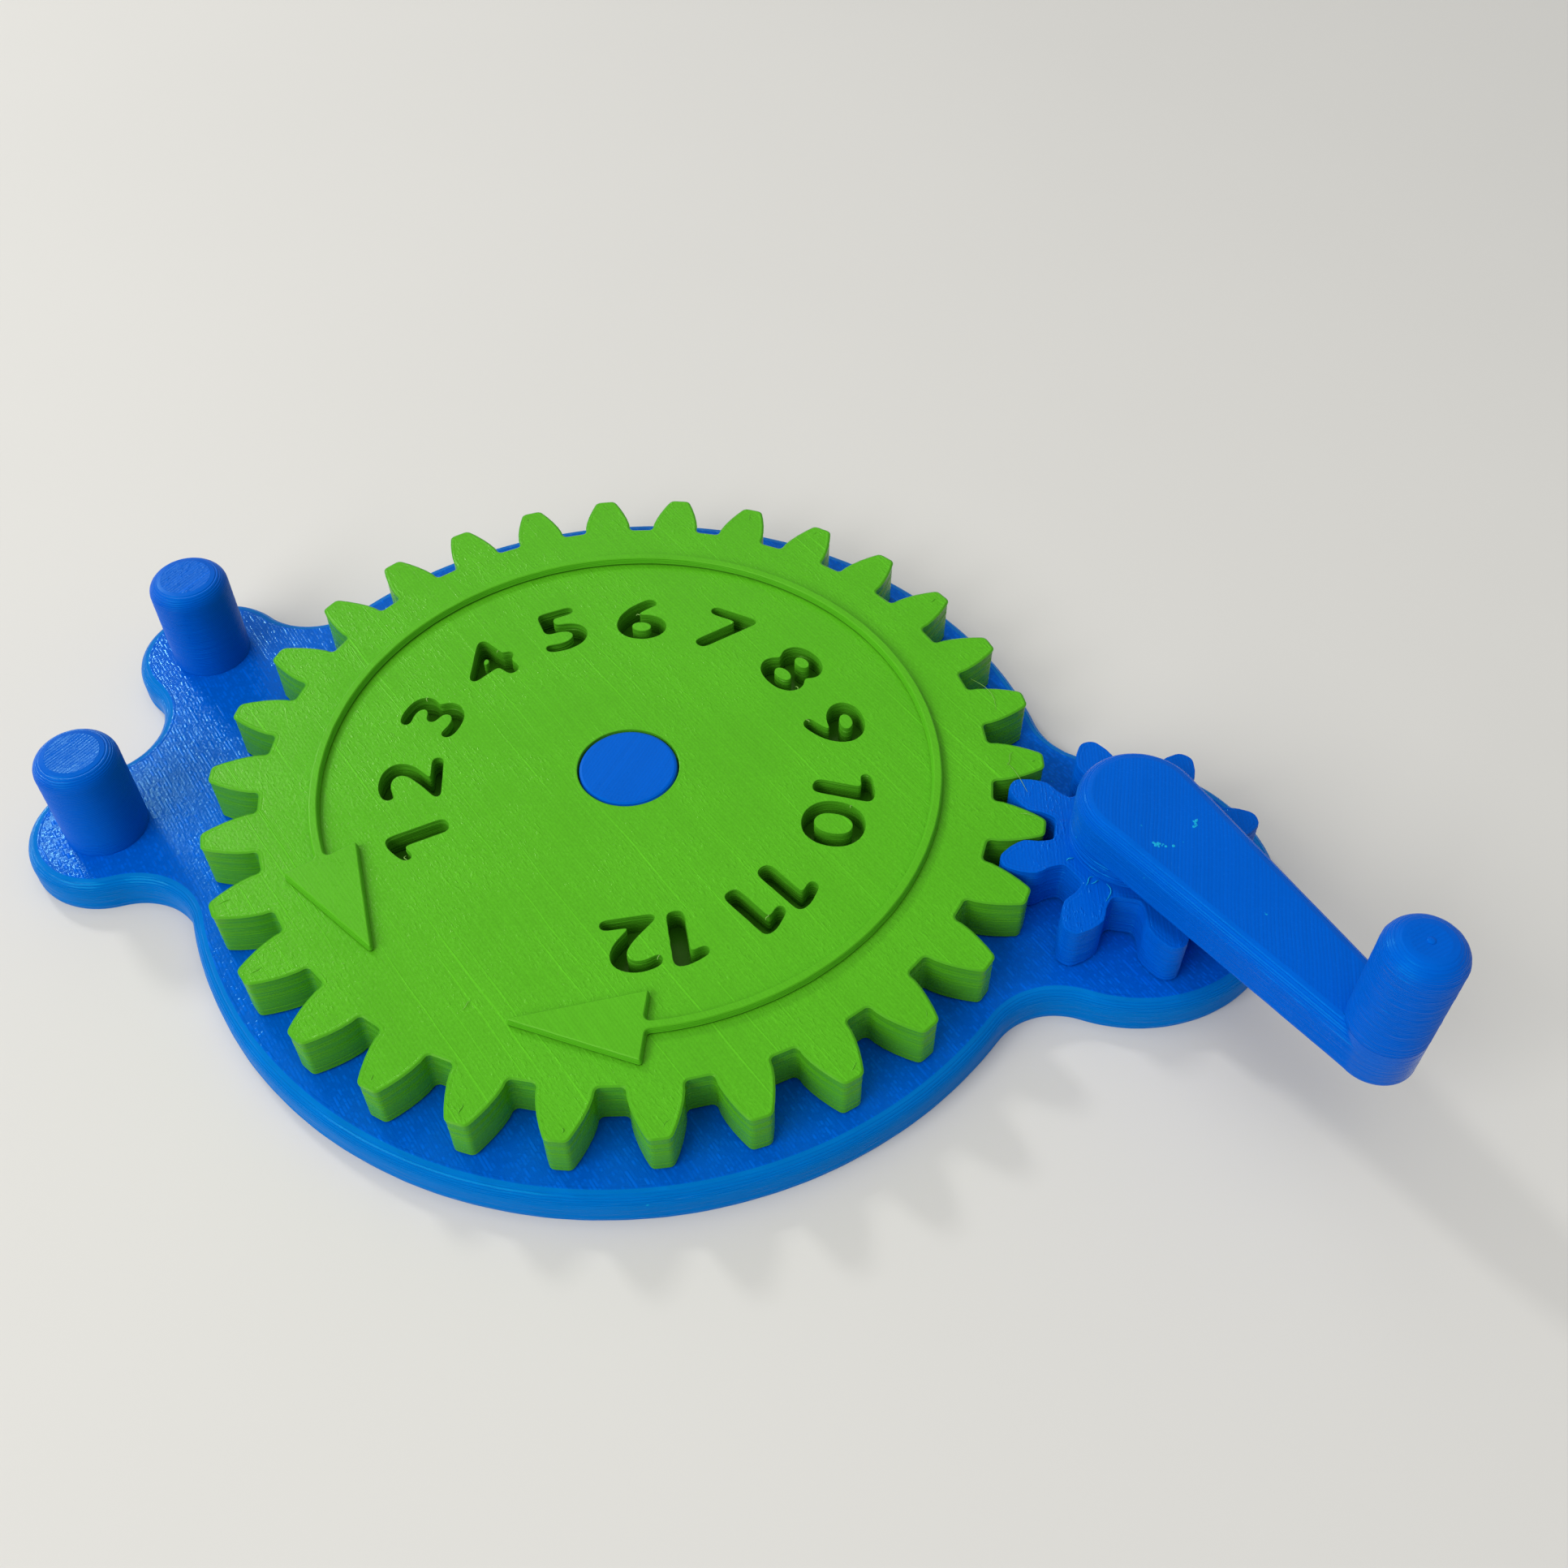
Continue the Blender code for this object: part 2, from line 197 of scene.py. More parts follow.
class StageSettings(bpy.types.PropertyGroup):
    """Colours of the two plastics and the floor, and the strength of the light."""
    blue: a_colour("Blue plastic", "Colour of the base and crank", (0.000, 0.097, 0.565))
    green: a_colour("Green plastic", "Colour of the gear", (0.086, 0.415, 0.012))
    # lighter, more cyan blue for upright faces: a painted highlight on the plate's rim and walls
    blue_wall: a_colour("Blue wall", "Colour of upright blue faces", (0.0, 0.152, 0.545))
    # darker green for upright faces: painted shade on the gear's walls
    green_wall: a_colour("Green wall", "Colour of upright green faces", (0.070, 0.345, 0.012))
    blue_shine: a_colour("Blue shine", "Colour of the blue's gloss", (0.03, 1.0, 1.0))
    green_shine: a_colour("Green shine", "Colour of the green's gloss", (0.75, 0.9, 0.40))
    floor: a_colour("Floor", "Colour of the floor", (0.675, 0.668, 0.640))
    key_power: a_number("Left light", "Power of the large soft light", 0.8)
    front_power: a_number("Front light", "Power of the light in front", 5.8)
    wall_power: a_number("Rear wall", "Power of the pale wall behind", 0.9)
    ceiling_power: a_number("Ceiling light", "Power of the light above", 3.1)
    rear_power: a_number("Rear window", "Power of the window behind", 1.8)
    sky_strength: a_number("Room light", "Strength of the light all round", 0.31)


# Outlines


def heading_to(angle):
    """Unit vectors at the given angles from +X."""
    return np.stack([np.cos(angle), np.sin(angle)], axis=-1)


def turned(places, angle):
    """Points turned about the origin."""
    cos, sin = math.cos(angle), math.sin(angle)
    return places @ np.array([[cos, sin], [-sin, cos]])


def left_of(directions):
    return np.stack([-directions[..., 1], directions[..., 0]], axis=-1)


def neighbours(places):
    """The points before and after each point of a closed outline."""
    return np.roll(places, 1, axis=0), np.roll(places, -1, axis=0)


def turn_between(first, second):
    """Angles from the first vectors to the second ones."""
    cross = first[:, 0] * second[:, 1] - first[:, 1] * second[:, 0]
    return np.arctan2(cross, (first * second).sum(1))


def shared_out(counts):
    """Share old points out into counts of new ones: each one's old point and its number there."""
    which = np.repeat(np.arange(len(counts)), counts)
    return which, np.arange(len(which)) - (np.cumsum(counts) - counts)[which]


class Outline:
    """A closed outline, with its plastic on the left, that can be drawn in by any distance.

    A point drawn in by d lies at P + d m + s max(R - s d, r) (m - n). P is the sharp corner, m
    the mitre that keeps the same distance from both edges, n the inward normal of the rounded
    corner at that point, R the corner's radius, r the least radius that is left, and s is 1 on
    a corner that juts out and -1 on one that cuts in. On a smooth stretch n is m, so the last
    term is nothing.
    """
    LEAST_RADIUS = 0.04 * MM

    def __init__(self, corners, mitres, normals, signs, radii):
        self.corners, self.mitres, self.normals = corners, mitres, normals
        self.signs, self.radii = signs, radii

    def ring(self, inset, wave=0.0):
        """Points at one inset, with a small wave of its own along the outline."""
        depth = np.broadcast_to(inset + wave, len(self.corners))
        radius = np.maximum(self.radii - self.signs * depth, self.LEAST_RADIUS)
        corner = (self.signs * radius)[:, None] * (self.mitres - self.normals)
        return self.corners + depth[:, None] * self.mitres + corner

    def moved(self, turn, place):
        """The same outline, turned about the origin and then moved."""
        return Outline(turned(self.corners, turn) + place, turned(self.mitres, turn),
                       turned(self.normals, turn), self.signs, self.radii)


def round_outline(corners, radii, spacing):
    """Round the corners of a polygon and even out its long edges.

    A corner of radius R gets points whose normal turns in equal steps from one edge's normal
    to the other's. A point with no radius is smooth and stays one point.
    """
    after = np.roll(corners, -1, axis=0) - corners
    length = np.linalg.norm(after, axis=1)
    normal_after = left_of(after / length[:, None])
    normal_before = np.roll(normal_after, 1, axis=0)
    turn = turn_between(normal_before, normal_after)
    dot = (normal_before * normal_after).sum(1)
    mitre = (normal_before + normal_after) / np.maximum(1 + dot, 0.05)[:, None]
    room = CORNER_ROOM * np.minimum(np.roll(length, 1), length)
    radii = np.minimum(radii, room / np.maximum(np.tan(np.abs(turn) / 2), 1e-6))
    steps = np.ceil(np.abs(turn) / LARGEST_BEND).astype(int)
    count = np.where(radii > 0, np.maximum(steps, 1) + 1, 1)
    which, along = shared_out(count)
    along = along / np.maximum(count[which] - 1, 1)
    start = np.arctan2(normal_before[:, 1], normal_before[:, 0])
    normals = np.where(count[which, None] > 1,
                       heading_to(start[which] + along * turn[which]), mitre[which])
    outline = Outline(corners[which], mitre[which], normals, np.sign(turn[which] + 1e-12),
                      radii[which])
    return evened(outline, spacing)


def evened(outline, spacing):
    """Share each edge longer than the spacing into equal parts with smooth points."""
    places = outline.ring(0.0)
    gap = np.roll(places, -1, axis=0) - places
    length = np.linalg.norm(gap, axis=1)
    count = 1 + np.floor(length / spacing).astype(int)
    which, along = shared_out(count)
    along = (along / count[which])[:, None]
    old = along == 0
    normal = left_of(gap / length[:, None])[which]
    return Outline(np.where(old, outline.corners[which], places[which] + along * gap[which]),
                   np.where(old, outline.mitres[which], normal),
                   np.where(old, outline.normals[which], normal),
                   np.where(old[:, 0], outline.signs[which], 1.0),
                   np.where(old[:, 0], outline.radii[which], 0.0))


def circle(radius, count, middle=(0.0, 0.0), hole=False):
    """A circle as an outline, anticlockwise, or clockwise for a hole."""
    angles = FULL_TURN * np.arange(count) / count
    directions = heading_to(-angles if hole else angles)
    inwards = directions if hole else -directions
    return Outline(directions * radius + np.array(middle), inwards, inwards,
                   np.ones(count), np.zeros(count))


def crossings(places, starts, ends):
    """How many edges a line from each place towards +X crosses: odd where it lies inside."""
    across = places[:, 1, None]
    rises = (starts[:, 1] > across) != (ends[:, 1] > across)
    height = ends[:, 1] - starts[:, 1]
    slope = (ends[:, 0] - starts[:, 0]) / np.where(height == 0, 1.0, height)
    reach = starts[:, 0] + slope * (across - starts[:, 1])
    return (rises & (places[:, 0, None] < reach)).sum(1)


# Meshes


class Shell:
    """Rings of points and the faces between them, gathered into one closed mesh."""

    def __init__(self):
        self.points, self.flatness, self.ring_numbers = [], [], []
        self.quads, self.triangles = [], []
        self.count = 0

    def stack(self, rings, first=None):
        """Add rings, each joined to the one before. Gives the point numbers of both end rings.

        Each ring is given by its places, height and flatness. The first may be there already.
        """
        last = first
        for places, height, flat in rings:
            size = len(places)
            self.points.append(np.column_stack([places, np.broadcast_to(height, size)]))
            self.flatness.append(np.full(size, flat))
            self.ring_numbers.append(np.full(size, len(self.points)))
            numbers = np.arange(self.count, self.count + size)
            self.count += size
            if last is None:
                first = numbers
            else:
                self.quads.append(np.stack([last, np.roll(last, -1), np.roll(numbers, -1),
                                            numbers], 1))
            last = numbers
        return first, last

    def cap(self, loops, upwards=True):
        """A flat face inside the first loop and outside the others."""
        points = np.concatenate(self.points)[:, :2] / MM
        numbers = np.concatenate(loops)
        following = np.concatenate([np.roll(loop, -1) for loop in loops])
        starts, ends = points[numbers], points[following]
        order = np.zeros(self.count, int)
        order[numbers] = np.arange(len(numbers))
        edges = np.stack([order[numbers], order[following]], 1)
        places, _, triangles, *_ = delaunay_2d_cdt(
            [Vector(place) for place in starts], edges.tolist(), [], 0, 1e-6, False)
        if len(places) != len(numbers):
            raise RuntimeError("two outlines of a flat face touch or cross")
        triangles = np.array(triangles)
        inside = crossings(starts[triangles].mean(1), starts, ends) % 2 == 1
        corners = numbers[triangles[inside]]
        self.triangles.append(corners if upwards else corners[:, ::-1])

    def mesh(self, name):
        """Put the points and faces into a mesh that is smooth along its rings only."""
        points = np.concatenate(self.points)
        quads, triangles = np.concatenate(self.quads), np.concatenate(self.triangles)
        starts = np.concatenate([4 * np.arange(len(quads)),
                                 4 * len(quads) + 3 * np.arange(len(triangles))])
        corners = np.concatenate([quads.ravel(), triangles.ravel()])
        mesh = bpy.data.meshes.new(name)
        mesh.vertices.add(len(points))
        mesh.vertices.foreach_set("co", points.astype(np.float32).ravel())
        mesh.loops.add(len(corners))
        mesh.loops.foreach_set("vertex_index", corners.astype(np.int32))
        mesh.polygons.add(len(starts))
        mesh.polygons.foreach_set("loop_start", starts.astype(np.int32))
        mesh.update(calc_edges=True)
        mesh.shade_smooth()
        ring = np.concatenate(self.ring_numbers)[edge_ends(mesh)]
        sharp = mesh.attributes.new("sharp_edge", "BOOLEAN", "EDGE")
        sharp.data.foreach_set("value", ring[:, 0] == ring[:, 1])
        flat = mesh.attributes.new("flat_face", "FLOAT", "POINT")
        flat.data.foreach_set("value", np.concatenate(self.flatness).astype(np.float32))
        if mesh.validate():
            raise RuntimeError(name + " had a face that Blender had to mend")
        return mesh


def edge_ends(mesh):
    """Numbers of the two points of each edge."""
    ends = np.empty(2 * len(mesh.edges), np.int32)
    mesh.edges.foreach_get("vertices", ends)
    return ends.reshape(-1, 2)


def layer_profile(bottom, top, edge_round, settings, softness=0.0, chance=None, lip=0.0,
                  draft=0.0):
    """Inset, height and layer number of each ring up a printed wall.

    A layer goes in by the groove's depth at its ends, more or less by chance. At height h
    above the start of a rounded edge of radius r the true edge is drawn in by
    r - sqrt(r^2 - h^2). A layer keeps the inset of its middle, so the edge goes in by steps,
    and softness moves its ends towards the true edge. The last layer stands out by the lip.
    draft is how far the wall leans in over its height.
    """
    count = max(1, round((top - bottom) / settings.layer_height))
    edges = np.linspace(bottom, top, count + 1)
    heights = np.stack([edges[:-1], (edges[1:] + edges[:-1]) / 2, edges[1:]], 1)
    rise = np.clip(heights - (top - edge_round), 0.0, edge_round)
    true = edge_round - np.sqrt(edge_round ** 2 - rise ** 2)
    true += draft * (heights - bottom) / (top - bottom)
    insets = true[:, 1:2] + softness * (true - true[:, 1:2])
    grooves = np.full(count + 1, settings.groove_depth)
    if chance is not None:
        grooves[:-1] *= chance.choice(GROOVE_SHARES, count)
    insets += np.stack([grooves[:-1], np.zeros(count), grooves[1:]], 1)
    insets[-1] -= lip
    layers = np.repeat(np.arange(count), 3).reshape(count, 3)
    kept = np.ones((count, 3), bool)
    kept[:-1, 2] = np.abs(insets[1:, 0] - insets[:-1, 2]) > LEAST_STEP
    return insets[kept], heights[kept], layers[kept]


def layer_waves(places, count, size, chance):
    """How far each layer wanders in and out along its ring.

    Each layer has a shift of its own and the sum of three sines, each with a whole number of
    waves round the ring and a phase by chance.
    """
    steps = np.linalg.norm(np.roll(places, -1, axis=0) - places, axis=1)
    along = np.cumsum(steps) / steps.sum() * FULL_TURN
    longest = max(2, int(steps.sum() / LONGEST_WAVE))
    turns = chance.integers(longest, 8 * longest, (count, 1, 3))
    phases = chance.uniform(0.0, FULL_TURN, (count, 1, 3))
    waves = np.sin(along[None, :, None] * turns + phases).sum(2)
    return size * (chance.normal(size=(count, 1)) + 0.6 * waves)


def raise_wall(shell, outline, profile, wave_size, chance, foot=None):
    """Raise a wall ring by ring, from a foot that may be there already. Gives its end rings."""
    layers = profile[2]
    waves = layer_waves(outline.ring(0.0), layers[-1] + 1, wave_size, chance)
    return shell.stack([(outline.ring(inset, waves[layer]), height, 0.0)
                        for inset, height, layer in zip(*profile)], foot)


def edge_bead(shell, outline, last, inset, top, settings, beads=1):
    """The bead or beads that follow an edge on a top face, and the groove inside them.

    Each bead is a low crown between two grooves, given by shares of its width and the rise
    there. Gives the ring that the flat inside starts from.
    """
    crown = settings.crown_height
    crest = ((0.22, crown), (0.55, crown), (0.84, 0.2 * crown),
             (1.0, -0.15 * settings.groove_depth))
    steps = [(bead + share, rise) for bead in range(beads) for share, rise in crest]
    steps += [(beads + 0.16, 0.0), (beads + 0.3, 0.0)]
    return shell.stack([(outline.ring(inset + share * settings.bead_width), top + rise, 1.0)
                        for share, rise in steps], last)[1]


def printed_slab(shell, outline, heights, edge_round, settings, chance, beads=1, holes=(),
                 softness=0.0, unevenness=1.0, lip=0.0, uneven_grooves=False, foot_inset=0.0,
                 draft=0.0, closed=True):
    """A slab of one outline with a flat foot and, where it is to be closed, a flat top.

    holes are outlines that go right through, and the first layer is drawn in by the foot's
    inset. Gives the top's loops.
    """
    bottom, top = heights
    profile = layer_profile(bottom, top, edge_round, settings, softness,
                            chance if uneven_grooves else None, lip, draft)
    profile[0][profile[2] == 0] += foot_inset
    feet, tops = [], []
    for edge in (outline, *holes):
        wall = profile if edge is outline else layer_profile(bottom, top, 0.0, settings)
        first, last = raise_wall(shell, edge, wall, unevenness * settings.layer_shift, chance)
        feet.append(first)
        tops.append(edge_bead(shell, edge, last, wall[0][-1], top, settings, beads))
    shell.cap(feet, upwards=False)
    if closed:
        shell.cap(tops)
    return tops


def add_thread(shell, path, radius, paleness=2.0):
    """A hair of plastic along a path of points in space.

    Its rings stand across the path's direction and its height, and it gets
    thinner towards both ends as the sine of the way along it.
    """
    ahead = np.gradient(path, axis=0)
    ahead /= np.linalg.norm(ahead, axis=1)[:, None]
    side = np.cross(ahead, (0.0, 0.0, 1.0))
    side /= np.maximum(np.linalg.norm(side, axis=1), 1e-9)[:, None]
    over = np.cross(side, ahead)
    angles = FULL_TURN * np.arange(THREAD_SIDES) / THREAD_SIDES
    width = radius * (0.35 + 0.65 * np.sin(math.pi * np.linspace(0.0, 1.0, len(path))))
    spokes = (np.cos(angles)[None, :, None] * side[:, None]
              + np.sin(angles)[None, :, None] * over[:, None])
    rings = path[:, None] + width[:, None, None] * spokes
    first, last = shell.stack([(ring[:, :2], ring[:, 2], paleness) for ring in rings])
    fan = np.array([(0, side + 1, side) for side in range(1, THREAD_SIDES - 1)])
    shell.triangles += [first[fan], last[fan[:, ::-1]]]


def loose_thread(start, end, height, rise, chance, bend=0.07):
    """A path between two points on a top face that bows up and wanders sideways by chance."""
    share = np.linspace(0.0, 1.0, THREAD_STEPS)[:, None]
    span = np.array(end) - np.array(start)
    wander = chance.normal(size=(2, 1)) * bend
    places = (np.array(start) + share * span + left_of(span)
              * (wander[0] * np.sin(math.pi * share)
                 + 0.5 * wander[1] * np.sin(FULL_TURN * share)))
    return np.column_stack([places, height + rise * np.sin(math.pi * share[:, 0])])


def add_blob(shell, place, height, radius, rise, paleness=0.0):
    """A low round drop of plastic: half an ellipsoid that starts a little below the face."""
    angles = heading_to(FULL_TURN * np.arange(BLOB_SIDES) / BLOB_SIDES)
    first, last = shell.stack([(place + radius * math.cos(turn) * angles,
                                height + rise * math.sin(turn), paleness)
                               for turn in (-0.3, 0.25, 0.75, 1.2)])
    shell.cap([first], upwards=False)
    shell.cap([last])


def add_piece(name, shell, material, body, slot, *nodes):
    """Make the shell one object in the scene that moves with a body in place of CAD nodes."""
    mesh = shell.mesh(name)
    mesh.materials.append(material)
    piece = add_object(name, mesh)
    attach(piece, body)
    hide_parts(*nodes)


# Materials


class Bench:
    """Puts nodes into one material and wires them up. Values may be numbers or sockets."""

    def __init__(self, name):
        self.material = bpy.data.materials.new(name)
        self.material.use_nodes = True
        self.tree = self.material.node_tree
        self.shader = self.tree.nodes["Principled BSDF"]

    def node(self, kind, inputs=None, **settings):
        node = self.tree.nodes.new("ShaderNode" + kind)
        for key, value in settings.items():
            setattr(node, key, value)
        for key, value in (inputs or {}).items():
            self.feed(node.inputs[key], value)
        return node

    def feed(self, socket, value):
        if isinstance(value, bpy.types.NodeSocket):
            self.tree.links.new(value, socket)
        else:
            socket.default_value = value

    def sum(self, operation, *values):
        """One step of arithmetic."""
        return self.node("Math", dict(enumerate(values)), operation=operation).outputs[0]

    def times(self, first, second):
        return self.sum("MULTIPLY", first, second)

    def plus(self, base, value, share):
        """base + share * value."""
        return self.sum("MULTIPLY_ADD", value, share, base)

    def vary(self, base, value, share, middle=0.5):
        """base + share * (value - middle)."""
        return self.plus(base, self.sum("SUBTRACT", value, middle), share)

    def point(self, x, y, z=0.0):
        return self.node("CombineXYZ", {0: x, 1: y, 2: z}).outputs[0]

    def scaled(self, vector, factor):
        return self.node("VectorMath", {0: vector, "Scale": factor}, operation="SCALE").outputs[0]

    def blend(self, share, first, second):
        return self.node("Mix", {0: share, 2: first, 3: second}).outputs[0]

    def mix(self, share, first, second):
        """Blend two colours."""
        ends = [value if isinstance(value, bpy.types.NodeSocket) else (*value, 1.0)
                for value in (first, second)]
        return self.node("Mix", {0: share, 6: ends[0], 7: ends[1]}, data_type="RGBA").outputs[2]

    def noise(self, place, scale, detail=2.0, roughness=0.5):
        return self.node("TexNoise", {"Vector": place, "Scale": scale, "Detail": detail,
                                      "Roughness": roughness}).outputs["Fac"]

    def remap(self, value, low, high, new_low=0.0, new_high=1.0):
        return self.node("MapRange", {0: value, 1: low, 2: high, 3: new_low, 4: new_high},
                         interpolation_type="SMOOTHSTEP").outputs[0]

    def finish(self, colour, roughness):
        """Give the shader its colour and roughness, and the gloss that all surfaces share."""
        self.feed(self.shader.inputs["Base Color"], colour)
        self.feed(self.shader.inputs["Roughness"], roughness)
        self.shader.inputs["Specular IOR Level"].default_value = GLOSS_LEVEL
        return self.material


def printed_plastic(name, colour, wall_colour_and_light, shine, angle, line_depth=1.0, weave=0.0,
                    scratches=0.5, strokes=0.0, scuffs=0.0, wall_lines=0.35, roughness=0.34,
                    mottle=0.1, lightness=1.0):
    """Printed plastic: lines on flat faces and faint uneven layers on walls.

    All patterns are functions of the place on the piece in millimetres. On a flat face u runs
    across the lines, and each line is a low round bead, 1 - (2 f - 1)^2 of the fraction f of
    u over the pitch. Each line has its own height and shade, and noise drawn out along the
    lines makes thin scratches. On a wall, noise drawn out sideways makes each layer a little
    different. weave breaks the lines into dashes, strokes are short raised smears along the
    lines, scuffs are rare pale specks, and mottle is a fine grain. Height goes into a bump of
    0.03 mm, and base + share * (part - middle) adds each pattern to the shade and the gloss.
    The crests of the beads and dashes are painted lighter and their grooves darker: a painted
    highlight and painted shade. Flat faces can also be painted lighter all over as a painted
    sheen. Upright faces take a colour of their own, with a painted highlight on the plate and
    painted shade on the gear, and painted shade where the flatness falls below 0, in the
    pockets of the numbers and at the foot of the arrow.
    """
    bench = Bench(name)
    place = bench.scaled(bench.node("TexCoord").outputs["Object"], 1 / MM)
    flat = bench.node("Attribute", attribute_name="flat_face").outputs["Fac"]
    turn = (0.0, 0.0, -math.radians(angle))
    along = bench.node("Mapping", {"Vector": place, "Rotation": turn}).outputs[0]
    run, across, _ = bench.node("SeparateXYZ", {0: along}).outputs
    wander = bench.noise(place, 0.12, 1.0)
    across = bench.plus(across, wander, 0.5)
    lines = bench.sum("DIVIDE", across, toy_settings().prints.line_pitch / MM)
    number = bench.sum("FLOOR", lines)
    own = bench.node("TexWhiteNoise", {"W": number}, noise_dimensions="1D").outputs["Value"]
    dash = bead = round_bead(bench, bench.sum("FRACT", lines))
    patch = bench.noise(place, 0.09, 3.0, 0.55)
    grain = bench.noise(place, 2.6, 3.0, 0.7)
    strength = bench.remap(bench.noise(place, 0.16), 0.35, 0.65, 0.45, 1.0)
    scratch = bench.noise(bench.point(bench.times(run, 0.008), across), 2.6)
    scratch = bench.remap(scratch, 0.63, 0.69)
    stroke = bench.noise(bench.point(bench.times(run, 0.4), across, wander), 2.8)
    stroke = bench.times(bench.remap(stroke, 0.50, 0.74),
                         bench.remap(patch, 0.42, 0.56, 0.15, 1.0))
    layer = bench.node("VectorMath", {0: place, 1: (0.35, 0.35, 7.0)}, operation="MULTIPLY")
    layer = bench.noise(layer.outputs[0], 1.0, 2.0, 0.55)

    height = bench.plus(bench.times(bead, strength), own, 0.5)
    if weave:
        dash = woven(bench, bead, run, number, own)
        share = bench.remap(bench.noise(place, 0.05), 0.3, 0.45, 0.6 * weave, weave)
        height = bench.blend(share, height, dash)
    height = bench.times(height, line_depth)
    for part, share in ((scratch, scratches), (stroke, strokes), (grain, 0.7 + 2.0 * mottle)):
        height = bench.plus(height, part, share)
    wall_height = bench.times(bench.plus(grain, layer, 2.0), wall_lines)
    relief = bench.blend(flat, bench.times(wall_height, strength), height)
    bump = bench.node("Bump", {"Height": relief, "Distance": 0.03 * MM, "Strength": 1.0})

    # flat faces start from the painted sheen: a factor above 1 paints them lighter
    shade = bench.vary(lightness, own, 0.05)
    # painted highlight and shade: bead crests and dashes lighter, grooves darker
    shade = bench.vary(shade, dash, 0.08 + 0.14 * weave, 0.6)
    shade = bench.plus(shade, scratch, 0.35 * scratches)
    shade = bench.vary(shade, grain, mottle)
    shade = bench.plus(shade, stroke, 0.05 * strokes)
    # painted shade on upright faces, darker where the flatness falls below 0
    depth_shade = bench.node("MapRange", {0: flat, 1: -1.0, 2: 0.0, 3: 0.45, 4: 1.0}).outputs[0]
    shade = bench.blend(flat, bench.vary(depth_shade, layer, 0.6 * wall_lines), shade)
    shade = bench.vary(shade, patch, 0.16)
    # upright faces take the wall colour: lighter as a painted highlight on the plate, darker as
    # painted shade on the gear
    tint = bench.scaled(bench.mix(flat, wall_colour_and_light, colour), shade)
    speck = bench.remap(bench.noise(place, 0.75, 6.0, 0.7), 0.69, 0.73, 0.0, scuffs)
    # threads and crumbs, with a flatness above 1.2, are mixed towards a pale colour: crumbs as
    # pale specks of plastic, threads partly so and partly as painted light against the shade they
    # fall in
    speck = bench.sum("MAXIMUM", speck, bench.remap(flat, 1.2, 1.8, 0.0, 0.7))
    tint = bench.mix(speck, tint, 0.4 * np.array(colour) + 0.45 * np.array(shine))

    gloss = roughness
    for part, share in ((patch, 0.2), (layer, 0.15), (grain, 0.4)):
        gloss = bench.vary(gloss, part, share)
    bench.feed(bench.shader.inputs["Normal"], bump.outputs[0])
    bench.shader.inputs["Specular Tint"].default_value = (*shine, 1.0)
    bench.material.diffuse_color = (*colour, 1.0)
    return bench.finish(tint, gloss)


def round_bead(bench, fraction):
    """Height of a round bead across its width, 1 - (2 f - 1)^2."""
    offset = bench.sum("MULTIPLY_ADD", fraction, 2.0, -1.0)
    return bench.sum("SUBTRACT", 1.0, bench.times(offset, offset))


def woven(bench, bead, run, number, own):
    """Beads broken into dashes by noise along each line, some lines higher by chance."""
    dash = bench.noise(bench.point(run, bench.times(number, 7.3)), 1.2, 1.0)
    dash = bench.times(bench.remap(dash, 0.44, 0.58), bench.plus(0.5, own, 1.0))
    return bench.times(dash, bead)


def toy_settings():
    return bpy.context.scene.gear_toy


def blue_plastic(name, angle, wall_colour_and_light=None, **changes):
    stage = toy_settings().stage
    return printed_plastic("blue " + name, stage.blue, wall_colour_and_light or stage.blue,
                           stage.blue_shine, angle, **changes)


def green_plastic(name, wall_colour_and_light, **changes):
    stage = toy_settings().stage
    return printed_plastic("green " + name, stage.green, wall_colour_and_light, stage.green_shine, 137.0,
                           **changes)


# Base


def hollow_between(first, second, radius):
    """Middle of the hollow arc that rolls between two discs, on the right of the line.

    Its distance from each disc's middle is the disc's radius plus its own.
    """
    reach_first, reach_second = first[1] + radius, second[1] + radius
    span = second[0] - first[0]
    distance = np.linalg.norm(span)
    along = (distance ** 2 + reach_first ** 2 - reach_second ** 2) / (2 * distance)
    across = math.sqrt(reach_first ** 2 - along ** 2)
    return first[0] + span / distance * along - left_of(span / distance) * across


def heading(origin, target):
    return math.atan2(target[1] - origin[1], target[0] - origin[0])


def plate_outline(base, gear, spacing):
    """Discs round the gear, the pinion and each peg, run together by hollow arcs."""
    gear_disc, pinion_disc = [
        (AXES[joint], (teeth / 2 + 1) * gear.tooth_module + base.plate_margin)
        for joint, teeth in (("gear_spin", gear.gear_teeth), ("crank_spin", gear.pinion_teeth))]
    rear_disc, front_disc = [(node_middle(node), node_radius(node) + base.lobe_margin)
                             for node in ("rear_finger_peg", "front_finger_peg")]
    discs = [pinion_disc, gear_disc, rear_disc, front_disc, gear_disc]
    hollows = [hollow_between(disc, following, base.hollow_radius)
               for disc, following in zip(discs, discs[1:] + discs[:1])]
    corners = []
    for number, (middle, radius) in enumerate(discs):
        after = hollows[number]
        following = discs[(number + 1) % len(discs)][0]
        start = heading(middle, hollows[number - 1])
        sweep = (heading(middle, after) - start) % FULL_TURN
        corners.append(arc_points(middle, radius, start, sweep, spacing))
        enter = heading(after, middle)
        sweep = (enter - heading(after, following)) % FULL_TURN
        corners.append(arc_points(after, base.hollow_radius, enter, -sweep, spacing))
    corners = np.concatenate(corners)
    return round_outline(corners, np.zeros(len(corners)), 2 * spacing)


def arc_points(middle, radius, start, sweep, spacing):
    """Points of an arc without its last one."""
    count = max(2, math.ceil(abs(sweep) * radius / spacing))
    angles = start + sweep * np.arange(count) / count
    return middle + radius * heading_to(angles)


